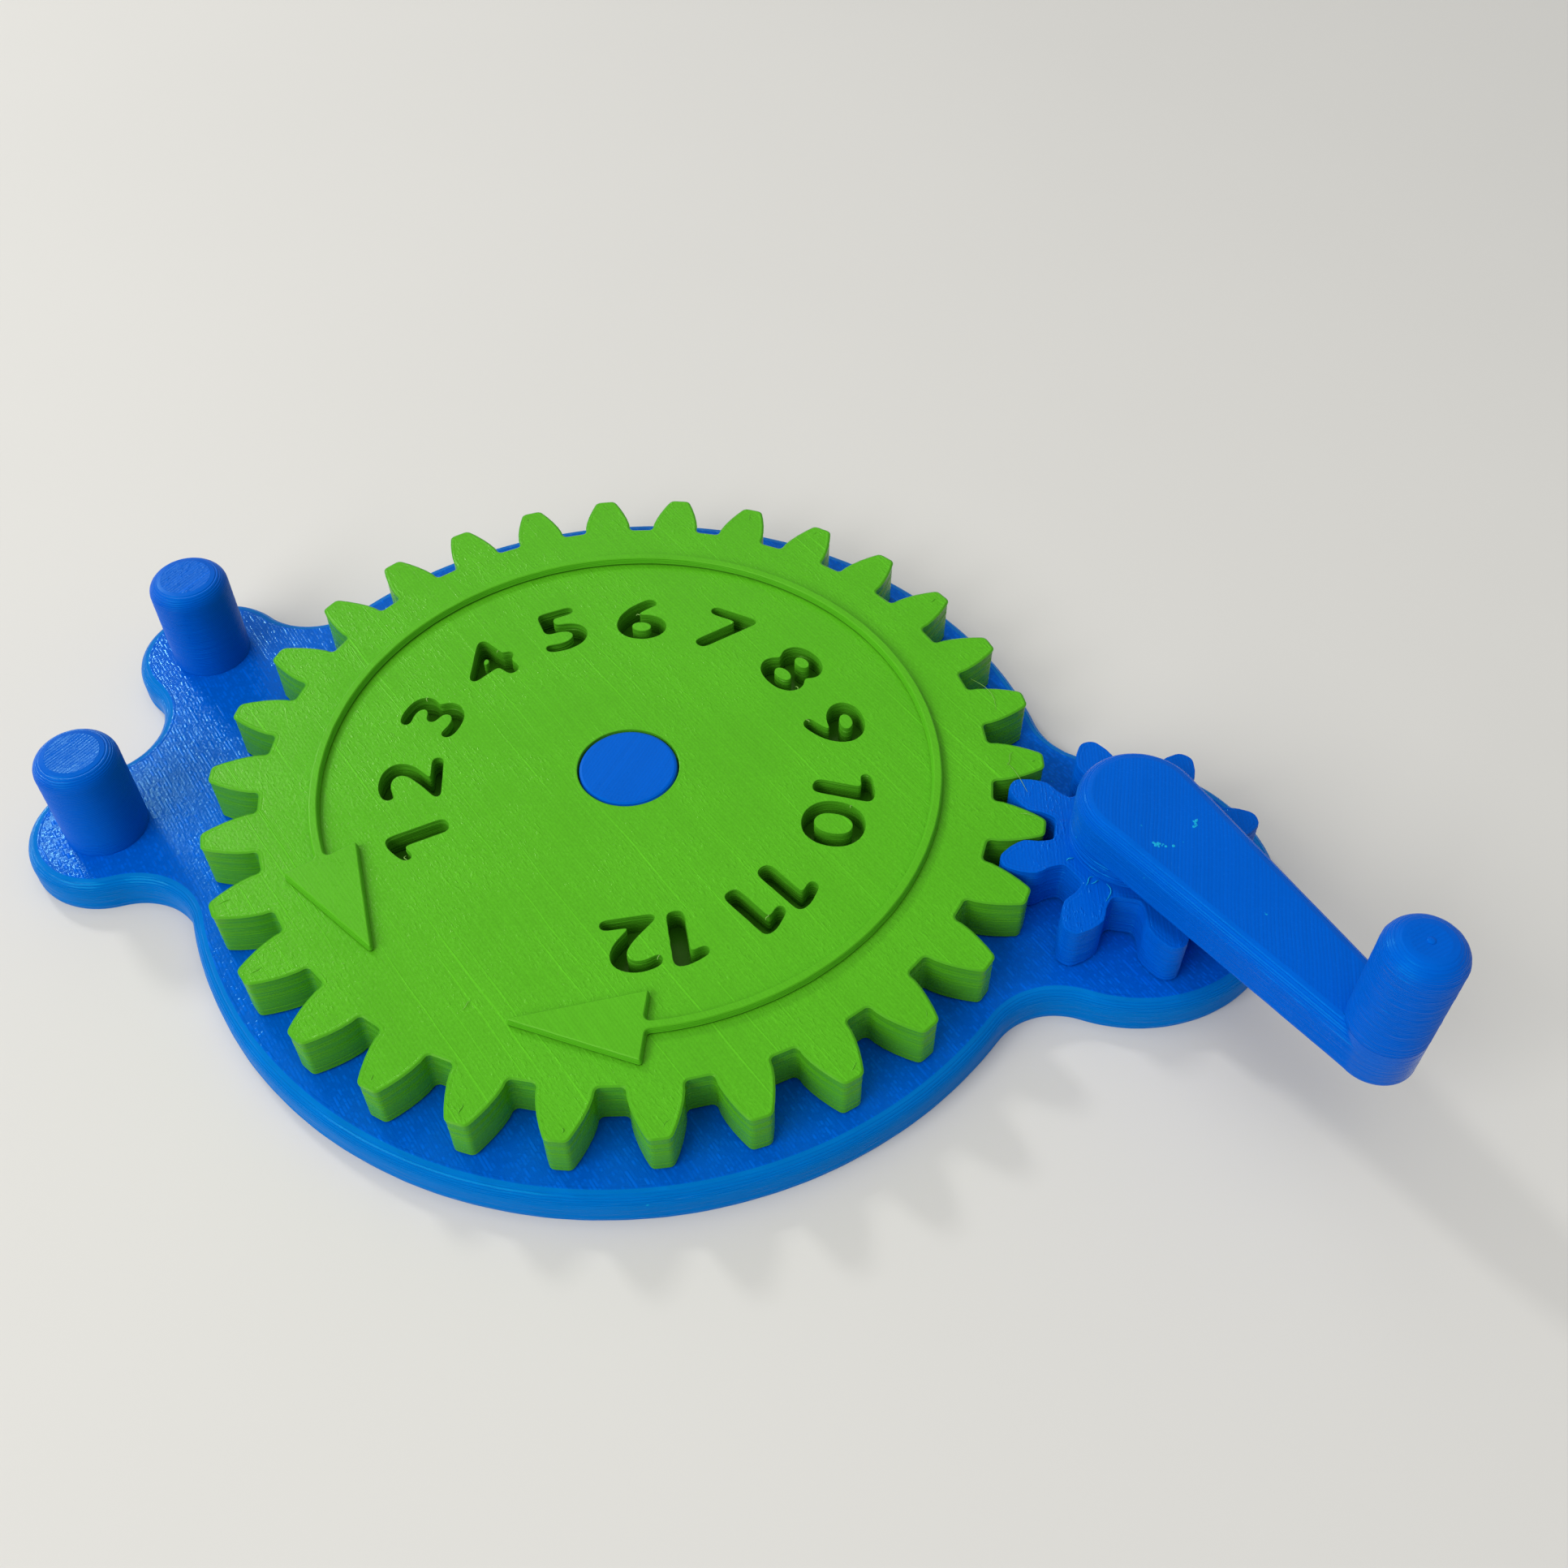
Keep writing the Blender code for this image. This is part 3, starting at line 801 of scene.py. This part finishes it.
class GEARTOY_OT_plate(bpy.types.Operator):
    """Build the base plate with the stepped contour lines of its rounded edge"""
    bl_idname = "geartoy.plate"
    bl_label = "Base plate"

    def execute(self, context):
        toy = context.scene.gear_toy
        shell = Shell()
        printed_slab(shell, plate_outline(toy.base, toy.gear, 0.7 * MM),
                     node_heights("base_plate"), toy.base.plate_round, toy.prints,
                     np.random.default_rng(11), softness=0.6)
        # the plate's walls take the blue with a painted highlight, and its top is painted lighter
        # as a painted sheen
        plastic = blue_plastic("plate", 135.0, toy.stage.blue_wall, weave=0.95, line_depth=0.6,
                               scratches=0.2, strokes=0.2, scuffs=0.6, roughness=0.15,
                               lightness=1.13)
        add_piece("plate_print", shell, plastic, "base", BLUE_SLOT, "base_plate")
        return {"FINISHED"}


class GEARTOY_OT_pegs(bpy.types.Operator):
    """Build the two finger pegs and the two posts, each a stack of round layers"""
    bl_idname = "geartoy.pegs"
    bl_label = "Pegs and posts"

    def execute(self, context):
        toy = context.scene.gear_toy
        peg = blue_plastic("peg", 65.0, line_depth=0.7, strokes=2.8, wall_lines=0.2,
                           roughness=0.36)
        post = blue_plastic("post", 75.0, line_depth=0.15, scratches=0.1, scuffs=0.5)
        pieces = (("rear_peg_print", "rear_finger_peg", toy.base.peg_round, 110, peg),
                  ("front_peg_print", "front_finger_peg", toy.base.peg_round, 110, peg),
                  ("gear_post_print", "gear_post", toy.base.post_round, 128, post),
                  ("pinion_post_print", "pinion_post", toy.base.post_round, 64, post))
        for number, (name, node, edge_round, count, plastic) in enumerate(pieces):
            shell = Shell()
            outline = circle(node_radius(node), count, node_middle(node))
            printed_slab(shell, outline, node_heights(node), edge_round, toy.prints,
                         np.random.default_rng(20 + number), beads=0, softness=0.7,
                         unevenness=0.5)
            add_piece(name, shell, plastic, "base", BLUE_SLOT, node)
        return {"FINISHED"}


# Gear


def involute(angle):
    return np.tan(angle) - angle


def flank_half_angle(radius, teeth, dedendum, gear):
    """Half the angle that a tooth spans at a radius.

    The involute gives pi / 2z + inv(a) - inv(arccos(base radius / radius)) for z teeth and
    pressure angle a. The corner of the cutting rack rolls on the pitch circle and may cut
    away more, so the tooth is the smaller of the two.
    """
    pitch_radius = teeth * gear.tooth_module / 2
    base_radius = pitch_radius * math.cos(gear.pressure_angle)
    local = np.arccos(np.minimum(1.0, base_radius / radius))
    tooth = math.pi / (2 * teeth) + involute(gear.pressure_angle) - involute(local)
    root_radius = pitch_radius - dedendum
    corner = math.pi * gear.tooth_module / 4 - dedendum * math.tan(gear.pressure_angle)
    rolled = np.sqrt(np.maximum(0.0, radius ** 2 - root_radius ** 2))
    swept = np.arctan2(rolled, root_radius) - (rolled - corner) / pitch_radius
    return np.minimum(tooth, math.pi / teeth - swept)


def toothed_outline(gear, teeth, dedendum, levels, tip_round, root_round, first_tooth=0.0):
    """Outline of a spur gear with rounded tips and roots, one tooth repeated round a circle.

    levels are the shares of the tooth's depth at which its flank has a point.
    """
    pitch_radius = teeth * gear.tooth_module / 2
    root_radius, tip_radius = pitch_radius - dedendum, pitch_radius + gear.tooth_module
    radius = root_radius + (tip_radius - root_radius) * np.array(levels)
    half_angle = flank_half_angle(radius, teeth, dedendum, gear)
    rounding = np.zeros(len(radius))
    rounding[0], rounding[-1] = root_round, tip_round
    offset = np.concatenate([-half_angle, half_angle[::-1]])
    radius, rounding = [np.concatenate([half, half[::-1]]) for half in (radius, rounding)]
    middle = first_tooth + FULL_TURN * np.arange(teeth) / teeth
    corners = radius[None, :, None] * heading_to(middle[:, None] + offset[None, :])
    return round_outline(corners.reshape(-1, 2), np.tile(rounding, teeth), FLANK_SPACING)


def digit_loops(digit):
    """Closed outlines of one digit from the built-in font, one unit high, outer one first.

    The digit 1 is drawn from given points, without the font's foot.
    """
    if digit == "1":
        return [np.array([(0.20, 0.0), (0.31, 0.0), (0.31, FONT_HEIGHT), (0.22, FONT_HEIGHT),
                          (0.05, 0.59), (0.05, 0.49), (0.20, 0.575)]) / FONT_HEIGHT]
    curve = bpy.data.curves.new("digit", "FONT")
    curve.body = digit
    curve.fill_mode = "NONE"
    curve.resolution_u = 5
    text = add_object("digit", curve)
    graph = bpy.context.evaluated_depsgraph_get()
    mesh = bpy.data.meshes.new_from_object(text.evaluated_get(graph))
    places = np.empty(3 * len(mesh.vertices))
    mesh.vertices.foreach_get("co", places)
    places = places.reshape(-1, 3)[:, :2] / FONT_HEIGHT
    ends = edge_ends(mesh)
    closing = ends[np.abs(ends[:, 0] - ends[:, 1]) != 1]
    bpy.data.objects.remove(text)
    bpy.data.curves.remove(curve)
    bpy.data.meshes.remove(mesh)
    return [places[low:high + 1] for low, high in np.sort(closing, axis=1)]


def spread_points(corners, spacing, bend=math.inf):
    """New points along a closed outline, one for each spacing it runs and each bend it turns."""
    before, after = neighbours(corners)
    turns = np.abs(turn_between(corners - before, after - corners))
    turns = (turns + np.roll(turns, -1)) / 2
    steps = np.linalg.norm(after - corners, axis=1) / spacing + turns / bend
    travelled = np.concatenate([[0.0], np.cumsum(steps)])
    count = math.ceil(travelled[-1])
    wanted = travelled[-1] * np.arange(count) / count
    closed = np.vstack([corners, corners[:1]])
    return np.stack([np.interp(wanted, travelled, closed[:, axis]) for axis in (0, 1)], 1)


def cut_outline(loop, weight, steps):
    """A digit's outline with its strokes made wider by the weight and its corners rounded.

    The plastic is outside the digit, so the loop goes the other way round. In each of many
    small steps every point moves along its normal and then halfway to the middle of its
    neighbours. At the end it gets new points, closer together where it turns.
    """
    corners = loop[::-1]
    for _ in range(steps):
        corners = spread_points(corners, 0.1 * MM)
        before, after = neighbours(corners)
        along = after - before
        normals = left_of(along / np.linalg.norm(along, axis=1)[:, None])
        moved = corners + weight / steps * normals
        before, after = neighbours(moved)
        corners = (before + 2 * moved + after) / 4
    corners = spread_points(corners, 0.8 * MM, math.radians(33.0))
    return round_outline(corners, np.zeros(len(corners)), 2 * MM)


def number_outlines(gear):
    """Outlines of all digits of the numbers round the gear, which read clockwise.

    Each number stands on the circle with its top outwards. Its angle is the length of the
    row before it over the circle's radius. A digit is a list of outlines, outer one first.
    """
    height = gear.number_height - 2 * gear.number_weight
    size = np.array([gear.number_width * height, height])
    digits = []
    travelled = 0.0
    for number in range(1, LAST_NUMBER + 1):
        glyphs = [[loop * size for loop in digit_loops(digit)] for digit in str(number)]
        widths = [np.ptp(glyph[0][:, 0]) for glyph in glyphs]
        whole = sum(widths) + gear.digit_gap * (len(widths) - 1)
        angle = gear.number_start - (travelled + whole / 2) / gear.number_radius
        place = gear.number_radius * heading_to(np.array(angle))
        start = -whole / 2
        for glyph, width in zip(glyphs, widths):
            middle = np.array([glyph[0][:, 0].min() - start, height / 2])
            digits.append([cut_outline(loop - middle, gear.number_weight, steps)
                           .moved(angle - math.pi / 2, place)
                           for loop, steps in zip(glyph, ROUNDING_STEPS)])
            start += width + gear.digit_gap
        travelled += whole + gear.number_gap
    return digits


def cut_digit(shell, outlines, top, gear, settings, chance):
    """Cut one digit as a pocket. Gives its loop in the top face.

    The wall of the pocket goes up from its floor, and what stands inside the digit is an
    island with a top face of its own. The flatness falls to -1 at the floor, which paints
    shade on the wall that deepens towards the floor of the pocket.
    """
    profile = layer_profile(top - gear.number_depth, top, 0.0, settings)
    feet, loops = [], []
    for outline in outlines:
        before = len(shell.points)
        first, last = raise_wall(shell, outline, profile, 1.2 * settings.layer_shift, chance)
        # paint shade on the pocket's wall, darkest at its floor
        for places, flatness in zip(shell.points[before:], shell.flatness[before:]):
            flatness[:] = (places[:, 2] - top) / gear.number_depth
        rim = [(outline.ring(0.055 * MM), top, 0.0), (outline.ring(POCKET_RIM), top, 1.0)]
        feet.append(first)
        loops.append(shell.stack(rim, last)[1])
    shell.cap(feet)
    for island in loops[1:]:
        shell.cap([island])
    return loops[0]


class GEARTOY_OT_gear(bpy.types.Operator):
    """Build the toothed disc with its bore and the numbers cut into its top"""
    bl_idname = "geartoy.gear"
    bl_label = "Gear"

    def execute(self, context):
        toy = context.scene.gear_toy
        gear = toy.gear
        chance = np.random.default_rng(31)
        shell = Shell()
        levels = (0.0, 0.2, 0.38, 0.58, 0.78, 1.0)
        outline = toothed_outline(gear, gear.gear_teeth, gear.gear_dedendum, levels,
                                  tip_round=0.72 * MM, root_round=0.9 * MM)
        bore = circle(node_radius("gear_post") + gear.bore_gap, 96, hole=True)
        heights = node_heights("spin_gear")
        top = heights[1]
        tops = printed_slab(shell, outline, heights, 0.14 * MM, toy.prints, chance,
                            holes=(bore,), softness=1.0, unevenness=0.7, lip=0.1 * MM,
                            uneven_grooves=True, closed=False)
        digits = number_outlines(gear)
        tops += [cut_digit(shell, digit, top, gear, toy.prints, chance) for digit in digits]
        shell.cap(tops)
        self.add_threads(shell, gear, top, chance)
        self.add_whiskers(shell, [digit[0] for digit in digits], top, chance)
        # the gear's walls take the darker green, painted shade
        plastic = green_plastic("gear", toy.stage.green_wall, line_depth=0.16, scratches=0.55,
                                strokes=1.1, roughness=0.25, wall_lines=0.2, mottle=0.35)
        add_piece("gear_print", shell, plastic, "gear", GREEN_SLOT, "spin_gear")
        return {"FINISHED"}

    def add_whiskers(self, shell, outlines, top, chance):
        """Short hairs that reach from the edge of a digit over its pocket."""
        for number in (0, 2, 3, 5, 7, 8, 10, 12, 14):
            outline = outlines[number]
            point = chance.integers(len(outline.corners))
            start = outline.ring(POCKET_RIM)[point]
            end = start - chance.uniform(0.4, 0.9) * MM * outline.mitres[point]
            path = loose_thread(start, end, top - 0.02 * MM, 0.1 * MM, chance, 0.2)
            add_thread(shell, path, 0.05 * MM)

    def add_threads(self, shell, gear, top, chance):
        """A few hairs that the nozzle pulled across the teeth, and a smear near most tips."""
        hairs = (((37.2, 21.6), (40.8, 16.9)), ((43.4, 10.6), (42.9, 8.4)),
                 ((42.9, 8.8), (45.6, 4.8)), ((45.0, 1.4), (47.0, 1.5)),
                 ((-8.4, -35.2), (-7.9, -33.9)))
        for start, end in hairs:
            path = loose_thread(np.array(start) * MM, np.array(end) * MM, top, 0.2 * MM, chance)
            add_thread(shell, path, 0.03 * MM, 1.6)
        tip = (gear.gear_teeth / 2 + 0.7) * gear.tooth_module
        for tooth in np.flatnonzero(chance.random(gear.gear_teeth) < 0.7):
            angle = FULL_TURN * tooth / gear.gear_teeth + chance.normal() * 0.008
            start = tip * heading_to(np.array(angle))
            end = start + chance.uniform(0.5, 1.6) * MM * heading_to(
                np.array(angle + math.pi + 0.5 * chance.normal()))
            path = loose_thread(start, end, top - 0.03 * MM, 0.03 * MM, chance, 0.1)
            add_thread(shell, path, chance.uniform(0.05, 0.13) * MM, 1.3)


def arrow_outline(gear):
    """A curved band with a triangular head on each end: its outer side, then its inner one."""
    half_sweep = gear.arrow_sweep / 2
    corners, radii = [], []
    for side in (1, -1):
        radius = gear.arrow_radius + side * gear.band_width / 2
        arc = arc_points(np.zeros(2), radius, -side * half_sweep, side * gear.arrow_sweep,
                         0.8 * MM)
        end = radius * heading_to(np.array([side * half_sweep]))
        corners += [arc, end, arrow_head(side * half_sweep, side, gear)[::side]]
        radii += [[0.35], np.zeros(len(arc) - 1), [0.35], np.full(3, 0.4)]
    return round_outline(turned(np.concatenate(corners), gear.arrow_turn),
                         np.concatenate(radii) * MM, 0.96 * MM)


def arrow_head(angle, turn, gear):
    """Outer corner, tip and inner corner of the head at one end of the band."""
    base = heading_to(np.array(angle)) * gear.arrow_radius
    outwards = heading_to(np.array(angle + turn * gear.head_turn))
    onwards = left_of(outwards) * turn
    return np.array([base + outwards * gear.head_width / 2, base + onwards * gear.head_length,
                     base - outwards * gear.head_width / 2])


class GEARTOY_OT_arrow(bpy.types.Operator):
    """Build the raised arrow that runs round the gear with a head on each end"""
    bl_idname = "geartoy.arrow"
    bl_label = "Double arrow"

    def execute(self, context):
        toy = context.scene.gear_toy
        shell = Shell()
        heights = node_heights("double_arrow")
        printed_slab(shell, arrow_outline(toy.gear), heights, 0.1 * MM, toy.prints,
                     np.random.default_rng(41), beads=0, softness=0.6, foot_inset=0.13 * MM,
                     draft=0.30 * MM)
        # paint a contact shadow on the lowest layer of the arrow's wall
        foot_shadow_top = heights[0] + 0.25 * MM
        for places, flatness in zip(shell.points, shell.flatness):
            flatness[places[:, 2] < foot_shadow_top] = PAINTED_FOOT_SHADE
        plastic = green_plastic("arrow", toy.stage.green, line_depth=0.07, scratches=0.15,
                                wall_lines=0.3, mottle=0.2)
        add_piece("arrow_print", shell, plastic, "gear", GREEN_SLOT, "double_arrow")
        return {"FINISHED"}


# Crank


class ArmOutline:
    """Outline of the crank arm from its hub to its knob, drawn in at its upper edge.

    It is the hull of the hub's circle and the knob's circle, drawn in by s, and joined with
    the full circle under the knob. A side line drawn in by s meets the knob's circle at
    arccos(1 - s / radius) behind the point where the two would touch.
    """

    def __init__(self, hub_radius, knob_radius, reach):
        self.hub_radius, self.knob_radius = hub_radius, knob_radius
        self.length = np.linalg.norm(reach)
        self.turn = math.atan2(reach[1], reach[0])
        self.touch = math.acos((hub_radius - knob_radius) / self.length)

    def ring(self, inset, wave=0.0):
        """Points at one inset, with a small wave of its own along the outline."""
        meet = self.touch + math.acos(1.0 - inset / self.knob_radius)
        knob_angle = -meet + 2 * meet * np.arange(KNOB_STEPS + 1) / KNOB_STEPS
        knob = self.knob_radius * heading_to(knob_angle) + np.array([self.length, 0.0])
        sweep = FULL_TURN - 2 * self.touch
        hub_angle = self.touch + sweep * np.arange(HUB_STEPS + 1) / HUB_STEPS
        hub = (self.hub_radius - inset) * heading_to(hub_angle)
        share = (np.arange(1, SIDE_STEPS) / SIDE_STEPS)[:, None]
        sides = [start + (end - start) * share
                 for start, end in ((knob[-1], hub[0]), (hub[-1], knob[0]))]
        angles = np.concatenate([knob_angle, np.full(len(share), self.touch), hub_angle,
                                 np.full(len(share), -self.touch)])
        places = np.concatenate([knob, sides[0], hub, sides[1]])
        places = places - heading_to(angles) * np.broadcast_to(wave, len(places))[:, None]
        return turned(places, self.turn) + CRANK_AXIS


class GEARTOY_OT_crank(bpy.types.Operator):
    """Build the pinion with its hub, the crank arm and the knob"""
    bl_idname = "geartoy.crank"
    bl_label = "Crank"

    def execute(self, context):
        toy = context.scene.gear_toy
        self.add_pinion(toy)
        self.add_arm(toy)
        self.add_knob(toy)
        return {"FINISHED"}

    def add_pinion(self, toy):
        gear, prints = toy.gear, toy.prints
        chance = np.random.default_rng(51)
        shell = Shell()
        levels = (0.0, 0.17, 0.28, 0.4, 0.52, 0.64, 0.78, 1.0)
        outline = toothed_outline(gear, gear.pinion_teeth, gear.pinion_dedendum, levels,
                                  tip_round=1.2 * MM, root_round=1.0 * MM,
                                  first_tooth=math.pi + math.pi / gear.pinion_teeth)
        outline = outline.moved(0.0, CRANK_AXIS)
        bottom, hub_top = node_heights("drive_pinion")
        top = node_heights("spin_gear")[1]
        bore = circle(toy.crank.bore_radius, 48, CRANK_AXIS, hole=True).ring(0.0)
        hub = circle(toy.crank.hub_radius, 96, CRANK_AXIS)
        foot, _ = shell.stack([(hub.ring(prints.groove_depth), top, 0.0)])
        profile = layer_profile(bottom, top, 0.0, prints)
        first, last = raise_wall(shell, outline, profile, prints.layer_shift, chance)
        rim = edge_bead(shell, outline, last, profile[0][-1], top, prints, beads=2)
        shell.cap([rim, foot])
        profile = layer_profile(top, hub_top, 0.0, prints)
        _, last = raise_wall(shell, hub, profile, 2 * prints.layer_shift, chance, foot)
        bore_foot, bore_top = shell.stack([(bore, bottom, 0.0), (bore, hub_top, 0.0)])
        shell.cap([last, bore_top])
        shell.cap([first, bore_foot], upwards=False)
        for degrees, reach in ((212.0, 8.1), (238.0, 8.6), (244.0, 8.0), (251.0, 9.4)):
            ends = [CRANK_AXIS + radius * MM * heading_to(np.radians(turn)) for radius, turn
                    in ((7.1, degrees), (reach, degrees + 6.0 * chance.normal()))]
            path = loose_thread(*ends, top, 0.15 * MM, chance, 0.15)
            add_thread(shell, path, 0.06 * MM)
        plastic = blue_plastic("pinion", 100.0, line_depth=0.5, strokes=2.2, scuffs=0.9,
                               wall_lines=0.6, roughness=0.22)
        add_piece("pinion_print", shell, plastic, "crank", BLUE_SLOT, "drive_pinion")

    def add_arm(self, toy):
        shell = Shell()
        outline = ArmOutline(toy.crank.hub_radius, node_radius("crank_knob"),
                             node_middle("crank_knob") - CRANK_AXIS)
        bottom, top = node_heights("crank_arm")
        profile = layer_profile(bottom, top, toy.crank.arm_round, toy.prints, softness=0.7)
        first, last = raise_wall(shell, outline, profile, 0.6 * toy.prints.layer_shift,
                                 np.random.default_rng(61))
        rim = [(outline.ring(profile[0][-1] + 0.1 * MM), top, 1.0)]
        shell.cap([shell.stack(rim, last)[1]])
        shell.cap([first], upwards=False)
        chance = np.random.default_rng(62)
        crumbs = (((59.6, -6.5), (0.45, 0.16), 14), ((63.1, -2.8), (0.2, 0.3), 10))
        for middle, spread, count in crumbs:
            for place in chance.normal(middle, spread, (count, 2)) * MM:
                size = chance.uniform(0.07, 0.2) * MM
                add_blob(shell, place, top, size, 0.3 * size, 1.75)
        plastic = blue_plastic("arm", 91.0, line_depth=0.5, scratches=0.1, scuffs=0.6,
                               roughness=0.23)
        add_piece("arm_print", shell, plastic, "crank", BLUE_SLOT, "crank_arm")

    def add_knob(self, toy):
        shell = Shell()
        middle, heights = node_middle("crank_knob"), node_heights("crank_knob")
        printed_slab(shell, circle(node_radius("crank_knob"), 110, middle), heights,
                     toy.crank.knob_round, toy.prints, np.random.default_rng(71), beads=0,
                     softness=0.9)
        add_blob(shell, middle, heights[1], 0.45 * MM, 0.15 * MM)
        plastic = blue_plastic("knob", 40.0, line_depth=0.3, scratches=0.0)
        add_piece("knob_print", shell, plastic, "crank", BLUE_SLOT, "crank_knob")


# Stage


class GEARTOY_OT_stage(bpy.types.Operator):
    """Set up the plain pale floor, the soft light and the camera"""
    bl_idname = "geartoy.stage"
    bl_label = "Stage"

    def execute(self, context):
        stage = context.scene.gear_toy.stage
        add_floor(stage)
        add_light(stage)
        add_camera(context.scene)
        context.scene.view_settings.view_transform = "Standard"
        return {"FINISHED"}


def add_floor(stage):
    mesh = bpy.data.meshes.new("floor")
    corners = [(x * FLOOR_REACH, y * FLOOR_REACH, 0.0) for x, y in
               ((-1, -1), (1, -1), (1, 1), (-1, 1))]
    mesh.from_pydata(corners, [], [(0, 1, 2, 3)])
    bench = Bench("pale table")
    place = bench.node("TexCoord").outputs["Object"]
    patch = bench.noise(place, 9.0, 3.0)
    tint = bench.scaled(tuple(stage.floor), bench.vary(1.0, patch, 0.05))
    mesh.materials.append(bench.finish(tint, 0.7))
    add_object("floor", mesh)


def add_light(stage):
    """A window on the left, a light in front, a small window and a wall behind, the ceiling above
    and the room's own light."""
    lights = (("window", (-0.60, -0.18, 0.60), 0.8, 0.6, stage.key_power),
              ("front", (-0.42, -0.64, 0.58), 0.7, 0.5, stage.front_power),
              ("rear window", (-0.56, 0.42, 0.53), 0.10, 0.10, stage.rear_power),
              ("rear wall", (-0.37, 0.53, 0.77), 0.8, 0.7, stage.wall_power),
              ("ceiling", (0.0, -0.10, 1.10), 1.3, 1.0, stage.ceiling_power))
    for name, place, width, height, power in lights:
        lamp = bpy.data.lights.new(name, "AREA")
        lamp.shape = "RECTANGLE"
        lamp.size, lamp.size_y, lamp.energy = width, height, power
        lamp.color = (1.0, 0.985, 0.955)
        light = add_object(name, lamp)
        light.location = place
        light.rotation_euler = (-Vector(place)).to_track_quat("-Z", "Y").to_euler()
    world = bpy.data.worlds.new("room")
    world.use_nodes = True
    background = world.node_tree.nodes["Background"]
    background.inputs["Color"].default_value = (0.95, 0.97, 1.0, 1.0)
    background.inputs["Strength"].default_value = stage.sky_strength
    bpy.context.scene.world = world


def add_camera(scene):
    lens = bpy.data.cameras.new("camera")
    lens.lens = 36.7735
    lens.sensor_width = 36.0
    lens.clip_start = 0.01
    camera = add_object("camera", lens)
    camera.location = (0.040436, -0.116806, 0.148890)
    camera.rotation_euler = tuple(math.radians(angle) for angle in (40.8196, -0.0065, 10.7385))
    scene.camera = camera


# Panel and registration


class ToySettings(bpy.types.PropertyGroup):
    """All settings of the toy."""
    prints: PointerProperty(type=PrintSettings)
    base: PointerProperty(type=BaseSettings)
    gear: PointerProperty(type=GearSettings)
    crank: PointerProperty(type=CrankSettings)
    stage: PointerProperty(type=StageSettings)


OPERATORS = (GEARTOY_OT_stage, GEARTOY_OT_plate, GEARTOY_OT_pegs, GEARTOY_OT_gear,
             GEARTOY_OT_arrow, GEARTOY_OT_crank)


class GEARTOY_PT_sidebar(bpy.types.Panel):
    """Lists the pieces of the toy and their sizes"""
    bl_idname = "GEARTOY_PT_sidebar"
    bl_label = "Gear toy"
    bl_space_type = "VIEW_3D"
    bl_region_type = "UI"
    bl_category = "Gear Toy"

    def draw(self, context):
        for operator in OPERATORS:
            self.layout.operator(operator.bl_idname)
        toy = context.scene.gear_toy
        for group in (toy.prints, toy.base, toy.gear, toy.crank, toy.stage):
            box = self.layout.box()
            for name in group.__annotations__:
                box.prop(group, name)


CLASSES = (PrintSettings, BaseSettings, GearSettings, CrankSettings, StageSettings, ToySettings,
           *OPERATORS, GEARTOY_PT_sidebar)


def register():
    for each in CLASSES:
        bpy.utils.register_class(each)
    bpy.types.Scene.gear_toy = PointerProperty(type=ToySettings)


def unregister():
    del bpy.types.Scene.gear_toy
    for each in reversed(CLASSES):
        bpy.utils.unregister_class(each)


def main():
    register()
    for operator in OPERATORS:
        group, name = operator.bl_idname.split(".")
        getattr(getattr(bpy.ops, group), name)()


if __name__ == "__main__":
    main()
